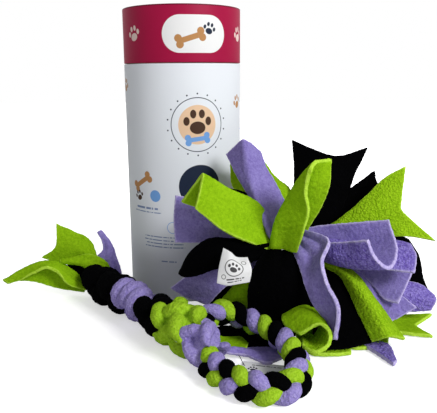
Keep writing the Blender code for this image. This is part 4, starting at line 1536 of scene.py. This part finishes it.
@dataclass
class SnuffleBall:
    """The ball of fleece strips that are pinched on a core."""

    reach: float = 0.100
    width: float = 0.050
    gap: float = 0.0008
    ruffles: int = 40
    ruffle_reach: float = 0.031
    ruffle_width: float = 0.026
    ruffle_root: float = 0.012
    bare_way: Pair = (275.0, 10.0)
    bare_turn: float = 0.15
    knot_arc: int = 18
    knot_segments: int = 48
    knot_pleats: int = 16
    knot_share: float = 0.93
    pleat_depth: float = 0.06
    lump_depth: float = 0.10
    lump_pace: float = 90.0
    tie_steps: int = 180
    tie_sides: int = 6
    tie_twists: int = 30
    tie_wind: float = 0.45
    tie_strand: float = 0.55
    tag_width: float = 0.023
    tag_height: float = 0.024
    tag_half: float = 0.0003
    tag_points: int = 15

    def build(self, copies: CopyTree) -> None:
        """Build the strips, the core and the tag.

        Args:
            copies: The tree that sets copies.
        """
        low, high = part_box("ball_core")
        hub = middle_of("ball_core")
        core_radius = (high[2] - low[2]) / 2.0
        maker = StripMaker(hub, core_radius + self.gap, self.reach, self.width)
        for index, strip in enumerate(BALL_STRIPS):
            maker.cloth(strip, 1.7 * index, "ball", "ball_core")
        self.make_core(hub, core_radius, copies)
        self.make_tie()
        self.make_tag(hub)

    def ruffle_places(self, hub: Vector) -> list[tuple[Vector, Matrix, Vector]]:
        """Return where the ruffles stand, evenly round the hub but for its bare front.

        Args:
            hub: The ball's middle.

        Returns:
            Point, turn and size of each ruffle.
        """
        places = []
        for index in range(self.ruffles):
            height = 1.0 - 2.0 * (index + 0.5) / self.ruffles
            turn = index * math.pi * (3.0 - math.sqrt(5.0))
            flat = math.sqrt(1.0 - height * height)
            out = Vector((math.cos(turn) * flat, math.sin(turn) * flat, height))
            if out.dot(aim(self.bare_way)) > self.bare_turn:
                continue
            spin = Matrix.Rotation(index * 2.1, 3, "Z")
            places.append((hub, out.to_track_quat("Z", "Y").to_matrix() @ spin, Vector((1.0, 1.0, 1.0))))
        return places

    def pleated_knot(self, hub: Vector, radius: float) -> bpy.types.Mesh:
        """Return the pleated ball of cloth at the middle.

        Args:
            hub: The ball's middle.
            radius: The knot's radius.

        Returns:
            The knot's mesh, in its place.
        """
        angles = (math.radians(180.0 / self.knot_arc * step) for step in range(1, self.knot_arc))
        arc = [(radius * math.sin(angle), radius * math.cos(angle)) for angle in angles]
        knot = turned("knot", [(0.0, radius), *arc, (0.0, -radius)], self.knot_segments)
        for vertex in knot.vertices:
            out = Vector(vertex.co)
            pleats = self.pleat_depth * math.cos(self.knot_pleats * math.atan2(out.y, out.x))
            lumps = self.lump_depth * ripple(*(out * self.lump_pace))
            vertex.co = hub + out * (self.knot_share + (pleats + lumps))
        set_nap(knot, -1.0)
        return knot

    def make_core(self, hub: Vector, radius: float, copies: CopyTree) -> None:
        """Build the gathered black middle: ruffles round a pleated knot.

        Args:
            hub: The ball's middle.
            radius: The knot's radius.
            copies: The tree that sets copies.
        """
        maker = StripMaker(Vector(), self.ruffle_root, self.ruffle_reach, self.ruffle_width, thickness=0.0028,
                           gather=0.0022, flutter=0.0040, stations=14, across=15, floor_gap=-1.0,
                           floor_ease=0.0001)
        pattern = Strip("ruffle", BLACK, (0, 90), (0, 90), 1.0, (0, 0), fold=70, crease=1.2)
        source = bpy.data.objects.new("ruffle", maker.mesh(pattern, 2.0)[0])
        core = copies.run("ball_middle", self.ruffle_places(hub), source, BLACK.material(), uneven=0.14,
                          seed=11)
        bpy.data.objects.remove(source)
        shape = bmesh.new()
        shape.from_mesh(core.data)
        shape.from_mesh(self.pleated_knot(hub, radius))
        shape.to_mesh(core.data)
        shape.free()
        core.data.shade_smooth()
        stand_for(core, "ball", "fleece_black", "ball_core")

    def make_tie(self) -> None:
        """Build the cord that ties the middle, as two twisted strands."""
        low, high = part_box("ball_tie")
        hub = middle_of("ball_tie")
        thick = (high[2] - low[2]) / 2.0
        major = (high[0] - low[0]) / 2.0 - thick
        shape = bmesh.new()
        for strand in range(2):
            rings = []
            for step in range(self.tie_steps):
                turn = FULL_TURN * step / self.tie_steps
                twist = self.tie_twists * turn + math.pi * strand
                out = Vector((math.cos(turn), math.sin(turn), 0.0))
                centre = hub + out * (major + thick * self.tie_wind * math.cos(twist))
                centre += UP * (thick * self.tie_wind * math.sin(twist))
                angles = (FULL_TURN / self.tie_sides * side for side in range(self.tie_sides))
                ways = (out * math.cos(angle) + UP * math.sin(angle) for angle in angles)
                rings.append([shape.verts.new(centre + way * thick * self.tie_strand) for way in ways])
            for step, ring in enumerate(rings):
                after = rings[(step + 1) % len(rings)]
                for side in range(self.tie_sides):
                    other = (side + 1) % self.tie_sides
                    shape.faces.new((ring[side], after[side], after[other], ring[other]))
        mesh = outward(shape, bpy.data.meshes.new("tie_strands"))
        stand_for(shown("tie_strands", mesh, TIE.material()), "ball", "tie_cord", "ball_tie")

    def make_tag(self, hub: Vector) -> None:
        """Build the small white cloth tag on the left black strip.

        Args:
            hub: The ball's middle.
        """
        depth = VIEW.depth(hub)
        corners = (
            ((217.0, 283.0, 0.054), (227.0, 285.5, 0.055), (238.0, 284.0, 0.054), (249.5, 282.0, 0.052)),
            ((219.0, 268.0, 0.053), (229.0, 269.0, 0.056), (240.0, 270.5, 0.055), (251.5, 270.0, 0.053)),
            ((223.5, 248.0, 0.050), (231.0, 252.5, 0.052), (236.0, 257.0, 0.049), (247.5, 257.5, 0.050)))
        rows = np.array([[VIEW.place(across, down, depth - near) for across, down, near in row]
                         for row in corners])
        count = self.tag_points
        shares = np.linspace(0.0, 1.0, count)
        columns = zip(*(through(row, spaced(row), shares) for row in rows))
        grid = np.array([through(np.array(column), np.array((0.0, 0.45, 1.0)), shares) for column in columns])
        half = np.full(count, self.tag_half)
        mesh = closed_sheet("tag_ribbon", grid.transpose(1, 0, 2), half, Face.NEITHER)
        lay_out(mesh, count, count, self.tag_width, self.tag_height)
        piece = shown("tag_ribbon", mesh, RIBBON.material())
        stand_for(piece, "ball", "tag_cloth", "care_tag")
        min(cloth_area(mesh), self.tag_width * self.tag_height)


class PlaitTree(PieceTree):
    """Weaves one strand of a plait along a path."""

    lean = math.radians(30.0)
    stations = 460
    sides = 18
    end_pace = 14.0
    end_spread = 0.55
    more_spread = 0.45
    bulge_share = 0.10

    def __init__(self) -> None:
        """Build the tree."""
        super().__init__("plait_strand", Turns="Float", Phase="Float", Sway="Float", Rise="Float",
                         Radius="Float")
        graph, wires = self.graph, self.wires
        path = graph.node("GeometryNodeResampleCurve", {"Curve": wires["Geometry"], "Count": self.stations},
                          mode="COUNT")
        share = graph.node("GeometryNodeSplineParameter", output="Factor")
        tangent = graph.node("GeometryNodeInputTangent")
        angle = share * wires["Turns"] * FULL_TURN + wires["Phase"]
        near = share.least(1.0 - share) * self.end_pace
        spread = self.end_spread + self.more_spread * near.held()
        inward = graph.vector("NORMALIZE", graph.vector("CROSS_PRODUCT", tuple(UP), tangent))
        outward_way = graph.vector("ADD", graph.scaled(inward, math.sin(self.lean)),
                                   tuple(UP * math.cos(self.lean)))
        faced = graph.vector("CROSS_PRODUCT", outward_way, tangent)
        sway = graph.sum("SINE", angle) * wires["Sway"] * spread
        rise = graph.sum("SINE", angle * 2.0) * wires["Rise"] * spread
        moved = graph.vector("ADD", graph.scaled(outward_way, sway), graph.scaled(faced, rise))
        strand = graph.node("GeometryNodeSetPosition", {"Geometry": path, "Offset": moved})
        bulge = graph.sum("COSINE", angle * 2.0)
        radius = wires["Radius"] * (1.0 - bulge * self.bulge_share)
        round_wire = graph.node("GeometryNodeCurvePrimitiveCircle", {"Resolution": self.sides, "Radius": 1.0})
        self.close(graph.node("GeometryNodeCurveToMesh", {
            "Curve": strand, "Profile Curve": round_wire, "Scale": radius, "Fill Caps": True}))

    def run(self, name: str, path: list[Vector], material: bpy.types.Material,
            **sizes: float) -> bpy.types.Object:
        """Weave one strand along the path and return it as plain mesh.

        Args:
            name: The strand's name.
            path: Points of the plait's middle line.
            material: Its material.
            sizes: The tree's inputs, by name.

        Returns:
            The strand as plain mesh.
        """
        curve = bpy.data.curves.new(name, "CURVE")
        curve.dimensions = "3D"
        line = curve.splines.new("POLY")
        line.points.add(len(path) - 1)
        for point, place in zip(line.points, path):
            point.co = (*place, 1.0)
        source = linked(name, curve)
        mesh = self.grow(source, Finish=material, **sizes)
        bpy.data.objects.remove(source)
        return shown(name, mesh, material)


@dataclass(frozen=True)
class Knot:
    """One knotted section: where it lies on the tug, and how its wraps lie round it."""

    name: str
    fleece: Fleece
    from_share: float
    to_share: float
    radius_share: float
    rings: int
    around: int
    stagger: float
    lean: float
    start: float
    plump: float


KNOTS = (
    Knot("knot_tassel_black", BLACK, 0.085, 0.395, 0.83, 4, 2, 0.3, 0.12, 0.9, 0.72),
    Knot("knot_lavender", LAVENDER, 0.385, 0.590, 0.88, 3, 2, 0.10, 0.10, 0.80, 0.56),
    Knot("knot_middle_black", BLACK, 0.580, 0.775, 0.82, 2, 3, 0.5, 0.25, 0.5, 0.64),
    Knot("knot_lime", LIME, 0.750, 0.960, 0.95, 3, 4, 0.5, 0.35, 0.55, 0.57),
    Knot("knot_loop_lavender", LAVENDER, 0.945, 1.065, 0.82, 2, 3, 0.5, -0.55, 0.7, 0.58),
)


@dataclass
class Tug:
    """The knotted tug with its tassel, its plaited loop and its card tag."""

    start: Vector
    bearing: float = math.radians(-51.44)
    length: float = 0.1765
    bow: float = 0.003
    knot_radius: float = 0.0204
    wrap_depth: float = 0.0062
    wrap_lap: float = 1.06
    wrap_round: float = 0.55
    wrap_uneven: float = 0.16
    turn_uneven: float = 0.30
    lean_uneven: float = 0.25
    core_depth: float = 1.3
    core_length: float = 0.8
    floor_gap: float = 0.0008
    loop_long: float = 0.0455
    loop_short: float = 0.0275
    loop_lift: float = 0.0065
    loop_climb: float = 0.0085
    loop_turn: float = math.radians(-65.0)
    loop_from: float = math.radians(-93.0)
    loop_to: float = math.radians(190.0)
    loop_height: float = 0.0103
    loop_middle: Pair = (0.72, -0.190)
    loop_steps: int = 120
    loop_start: Pair = (1.02, 0.006)
    loop_end: Pair = (0.90, 0.003)
    lift_from: float = math.radians(15.0)
    lift_over: float = math.radians(90.0)
    climb_from: float = math.radians(105.0)
    climb_over: float = math.radians(75.0)
    loop_fuzz_pace: float = 240.0
    strand_radius: float = 0.0050
    sway: float = 0.0050
    rise: float = 0.0031
    plait_turns: float = 6.2
    fuzz: float = 0.00050
    fuzz_pace: float = 260.0
    nap: float = 0.60
    pillow_power: float = 2.15
    voxel: float = 0.0007
    softness: float = 0.5
    card_wide: float = 0.034
    card_tall: float = 0.022
    card_half: float = 0.0003
    card_turn: float = math.radians(-14.0)
    card_bend: float = 0.0012
    card_rows: int = 9
    card_columns: int = 13
    thread_radius: float = 0.00030

    def point(self, share: float) -> Vector:
        """Return the point of the knots' line on the floor at a share of its length."""
        run = Vector((math.cos(self.bearing), math.sin(self.bearing), 0.0)) * self.length
        aside = Vector((-run.y, run.x, 0.0)).normalized()
        return self.start + run * share + aside * (self.bow * math.sin(math.pi * share))

    def axis(self, knot: Knot, share: float) -> Vector:
        """Return the point of the knots' axis at a share of the tug, at the height of one knot."""
        return self.point(share) + UP * (self.knot_radius * knot.radius_share + self.floor_gap)

    def build(self) -> None:
        """Build the knots, tails, loop and card."""
        for index, knot in enumerate(KNOTS):
            self.make_knot(knot, index)
        tassel = StripMaker(self.axis(KNOTS[0], 0.0), root_radius=0.0082, reach=0.080, width=0.044)
        tails = StripMaker(self.axis(KNOTS[-1], 1.0), root_radius=0.0093, reach=0.050, width=0.026)
        for maker, strips, holder in ((tassel, TASSEL_TAILS, KNOTS[0]), (tails, LOOP_TAILS, KNOTS[-1])):
            for index, strip in enumerate(strips):
                maker.cloth(strip, 0.9 + 2.3 * index, "tug", holder.name)
        self.make_loop()
        self.make_card()

    def pillow(self) -> tuple[np.ndarray, np.ndarray]:
        """Return the points and triangles of one plump wrap before it is bent.

        Returns:
            The points, and each triangle's corners by number.
        """
        shape = bmesh.new()
        bmesh.ops.create_icosphere(shape, subdivisions=3, radius=1.0)
        ball = np.array([tuple(vertex.co) for vertex in shape.verts])
        triangles = np.array([[vertex.index for vertex in face.verts] for face in shape.faces])
        shape.free()
        power = self.pillow_power
        ball /= (np.abs(ball) ** power).sum(axis=1, keepdims=True) ** (1.0 / power)
        return ball, triangles

    def make_knot(self, knot: Knot, seed: int) -> None:
        """Build one knotted section from plump strips that wrap round it.

        Args:
            knot: The section.
            seed: The seed of their unevenness.
        """
        ball, triangles = self.pillow()
        radius = self.knot_radius * knot.radius_share
        first, last = self.axis(knot, knot.from_share), self.axis(knot, knot.to_share)
        along = (last - first).normalized()
        side = along.cross(UP).normalized()
        above = side.cross(along)
        step_length = (last - first).length / knot.rings
        deep = self.wrap_depth
        half = math.pi / knot.around * self.wrap_lap
        points, faces = [], []
        for ring in range(knot.rings):
            centre = np.array(first.lerp(last, (ring + 0.5) / knot.rings))
            thick = radius - deep * self.core_depth
            inner = ball * (thick, thick, step_length * self.core_length)
            faces.append(triangles + len(ball) * len(points))
            points.append(centre + inner @ np.array((side, above, along)))
            for step in range(knot.around):
                turn = FULL_TURN * (step + knot.stagger * (ring % 2)) / knot.around + knot.start
                turn += self.turn_uneven * ripple(ring * 3.1, step * 1.7, seed)
                lean = knot.lean * (1.0 if ring % 2 else -1.0)
                lean += self.lean_uneven * ripple(step * 2.3, ring * 1.9, seed + 0.4)
                turns = turn + ball[:, 0] * half
                size = 1.0 + self.wrap_uneven * ripple(step * 1.3, ring * 2.7, seed + 7.0)
                out = radius - deep + (ball[:, 1] - self.wrap_round * ball[:, 0] ** 2) * deep * size
                shift = ball[:, 2] * step_length * knot.plump + ball[:, 0] * half * radius * lean
                faces.append(triangles + len(ball) * len(points))
                points.append(centre + np.outer(np.cos(turns) * out, side)
                              + np.outer(np.sin(turns) * out, above) + np.outer(shift, along))
        mesh = bpy.data.meshes.new(knot.name)
        mesh.from_pydata(np.concatenate(points).tolist(), [], np.concatenate(faces).tolist())
        piece = linked(knot.name + "_wraps", mesh)
        fuse = piece.modifiers.new("fuse", "REMESH")
        fuse.mode = "VOXEL"
        fuse.voxel_size = self.voxel
        soften = piece.modifiers.new("soften", "SMOOTH")
        soften.factor = self.softness
        soften.iterations = 1
        baked(piece)
        roughen(piece.data, self.fuzz_pace, self.fuzz)
        set_nap(piece.data, self.nap)
        finished(piece.data, knot.fleece.material())
        stand_for(piece, "tug", knot.fleece.name, knot.name)

    def loop_path(self) -> list[Vector]:
        """Return the plait's middle line, from the end of the knots round to their side.

        Returns:
            The line's points.
        """
        long_way = Vector((math.cos(self.loop_turn), math.sin(self.loop_turn), 0.0))
        short_way = Vector((-long_way.y, long_way.x, 0.0))
        middle = self.point(1.0) + Vector((*self.loop_middle, 0.0)) * self.loop_long
        path = [self.axis(KNOTS[-1], self.loop_start[0]) - UP * self.loop_start[1]]
        for step in range(self.loop_steps + 1):
            turn = self.loop_from + (self.loop_to - self.loop_from) * step / self.loop_steps
            lifted = self.loop_lift * ease((turn - self.lift_from) / self.lift_over)
            lifted += self.loop_climb * ease((turn - self.climb_from) / self.climb_over)
            path.append(middle + UP * (self.loop_height + lifted)
                        + long_way * (self.loop_long * math.cos(turn))
                        + short_way * (self.loop_short * math.sin(turn)))
        path.append(self.axis(KNOTS[-1], self.loop_end[0]) + UP * self.loop_end[1])
        return path

    def make_loop(self) -> None:
        """Weave the three strands of the loop."""
        weave = PlaitTree()
        path = self.loop_path()
        strands = (("loop_strand_lime", LIME), ("loop_strand_black", BLACK),
                   ("loop_strand_lavender", LAVENDER))
        for index, (node, fleece) in enumerate(strands):
            piece = weave.run(node + "_pillows", path, fleece.material(), Turns=self.plait_turns,
                              Phase=FULL_TURN * index / 3.0, Sway=self.sway, Rise=self.rise,
                              Radius=self.strand_radius)
            roughen(piece.data, self.loop_fuzz_pace, self.fuzz)
            set_nap(piece.data, self.nap)
            stand_for(piece, "tug", fleece.name, node)

    def make_card(self) -> None:
        """Build the white card inside the loop and the two threads that hold it."""
        centre = middle_of("swing_tag")
        side = Vector((math.cos(self.card_turn), math.sin(self.card_turn), 0.0))
        rise = Vector((-side.y, side.x, 0.0))
        grid = np.zeros((self.card_rows, self.card_columns, 3))
        for row in range(self.card_rows):
            for column in range(self.card_columns):
                x, y = column / (self.card_columns - 1) - 0.5, row / (self.card_rows - 1) - 0.5
                bend = self.card_bend * (x * x + 0.3 * y)
                place = centre + side * (self.card_wide * x) + rise * (self.card_tall * y)
                grid[row, column] = place + UP * bend
        mesh = closed_sheet("card", grid, np.full(self.card_rows, self.card_half), Face.NEITHER)
        lay_out(mesh, self.card_rows, self.card_columns, self.card_wide, self.card_tall)
        stand_for(shown("card", mesh, CARD.material()), "tug", "tag_card", "swing_tag")
        black = ((247.5, 369.0, 0.4020), (243.5, 364.0, 0.4050), (241.0, 359.0, 0.4090),
                 (238.5, 355.0, 0.4160))
        pale = ((291.0, 369.5, 0.4015), (291.5, 361.0, 0.4010), (288.5, 353.0, 0.4020),
                (286.0, 346.0, 0.4060))
        for index, (stops, finish) in enumerate(((black, THREAD), (pale, TIE))):
            self.make_thread(f"card_thread_{index}", stops, finish)

    def make_thread(self, name: str, stops: tuple[Triple, ...], finish: WhiteStuff) -> None:
        """Build one thin thread of the card through places in the picture.

        Args:
            name: The piece's name.
            stops: Places across and down the picture, with their depths.
            finish: Its finish.
        """
        curve = bpy.data.curves.new(name, "CURVE")
        curve.dimensions = "3D"
        curve.bevel_depth = self.thread_radius
        curve.bevel_resolution = 2
        curve.use_fill_caps = True
        line = curve.splines.new("BEZIER")
        line.bezier_points.add(len(stops) - 1)
        for point, stop in zip(line.bezier_points, stops):
            point.co = VIEW.place(*stop)
            point.handle_left_type = point.handle_right_type = "AUTO"
        thread = linked(name, curve)
        mesh = evaluated(thread)
        bpy.data.objects.remove(thread)
        stand_for(shown(name, mesh, finish.material()), "tug", "tag_card")


@dataclass(frozen=True)
class Studio:
    """Pale floor, soft lamps and the camera."""

    lamps: tuple[tuple[str, Triple, float, float], ...] = (
        ("key", (0.84, -0.94, 0.80), 0.42, 14.0),
        ("front", (-0.45, -1.10, 0.85), 1.1, 0.9),
        ("back", (0.30, 0.75, 0.90), 0.8, 3.5),
    )
    target: Triple = (0.02, -0.08, 0.10)
    sky: float = 0.275
    floor_reach: float = 4.0
    floor_middle: Triple = (0.04, -0.08, 0.0)
    floor_colour: Colour = (0.86, 0.86, 0.86)
    glow_low: float = 0.52
    glow_gain: float = 0.8
    glow_from: float = 0.10
    glow_pace: float = 2.2

    def build(self) -> None:
        """Build the floor, the world, the lamps and the camera."""
        scene = bpy.context.scene
        scene.view_settings.view_transform = "Standard"
        self.make_floor()
        self.make_world(scene)
        for name, place, size, power in self.lamps:
            self.make_lamp(name, Vector(place), size, power)
        data = bpy.data.cameras.new("camera")
        data.lens = VIEW.lens
        data.sensor_width = VIEW.sensor
        data.clip_start = 0.01
        camera = linked("camera", data)
        camera.matrix_world = VIEW.pose()
        scene.camera = camera

    def make_lamp(self, name: str, place: Vector, size: float, power: float) -> None:
        """Hang one square soft lamp that faces the object.

        Args:
            name: The lamp's name.
            place: Its place.
            size: Its width.
            power: Its watts.
        """
        data = bpy.data.lights.new(name, "AREA")
        data.size = size
        data.energy = power
        turn = (place - Vector(self.target)).to_track_quat("Z", "Y").to_matrix().to_4x4()
        linked(name, data).matrix_world = Matrix.Translation(place) @ turn

    def make_world(self, scene: bpy.types.Scene) -> None:
        """Light the scene evenly, and show white behind it.

        Args:
            scene: The scene.
        """
        world = bpy.data.worlds.new("studio")
        scene.world = world
        world.use_nodes = True
        graph = Graph(world.node_tree)
        camera, glossy, through_glass = (graph.node("ShaderNodeLightPath", output=f"Is {ray} Ray")
                                         for ray in ("Camera", "Glossy", "Transmission"))
        seen = camera.most(glossy).most(through_glass)
        background = world.node_tree.nodes["Background"]
        background.inputs["Color"].default_value = WHITE
        strength = self.sky + seen * (1.0 - self.sky)
        world.node_tree.links.new(strength.socket, background.inputs["Strength"])

    def make_floor(self) -> None:
        """Lay the pale floor, which the camera sees as nearly white and which keeps the shadow."""
        mesh = bpy.data.meshes.new("floor")
        reach = self.floor_reach
        corners = [(-reach, -reach, 0.0), (reach, -reach, 0.0), (reach, reach, 0.0), (-reach, reach, 0.0)]
        mesh.from_pydata(corners, [], [(0, 1, 2, 3)])
        material = bpy.data.materials.new("floor")
        material.use_nodes = True
        graph = Graph(material.node_tree)
        matt = graph.node("ShaderNodeBsdfDiffuse", {"Color": (*self.floor_colour, 1.0)})
        place = graph.node("ShaderNodeTexCoord", output="Object")
        off = graph.vector("LENGTH", graph.vector("SUBTRACT", place, self.floor_middle), output="Value")
        lift = self.glow_low + ((off - self.glow_from) * self.glow_pace).held() * self.glow_gain
        glow = graph.node("ShaderNodeEmission", {"Color": WHITE, "Strength": lift})
        lit = graph.node("ShaderNodeAddShader", {0: matt, 1: glow})
        seen = graph.node("ShaderNodeLightPath", output="Is Camera Ray")
        both = graph.node("ShaderNodeMixShader", {0: seen, 1: matt, 2: lit})
        output = material.node_tree.nodes["Material Output"]
        material.node_tree.links.new(both.socket, output.inputs["Surface"])
        mesh.materials.append(material)
        linked("floor", mesh)


def main() -> None:
    """Build the whole scene in order."""
    logging.basicConfig(level=logging.INFO, format="%(message)s")
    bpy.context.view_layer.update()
    copies = CopyTree()
    PaperTube().build()
    SnuffleBall().build(copies)
    Tug(start=Vector((-0.0910, -0.0310, 0.0))).build()
    Studio().build()


if __name__ == "__main__":
    main()
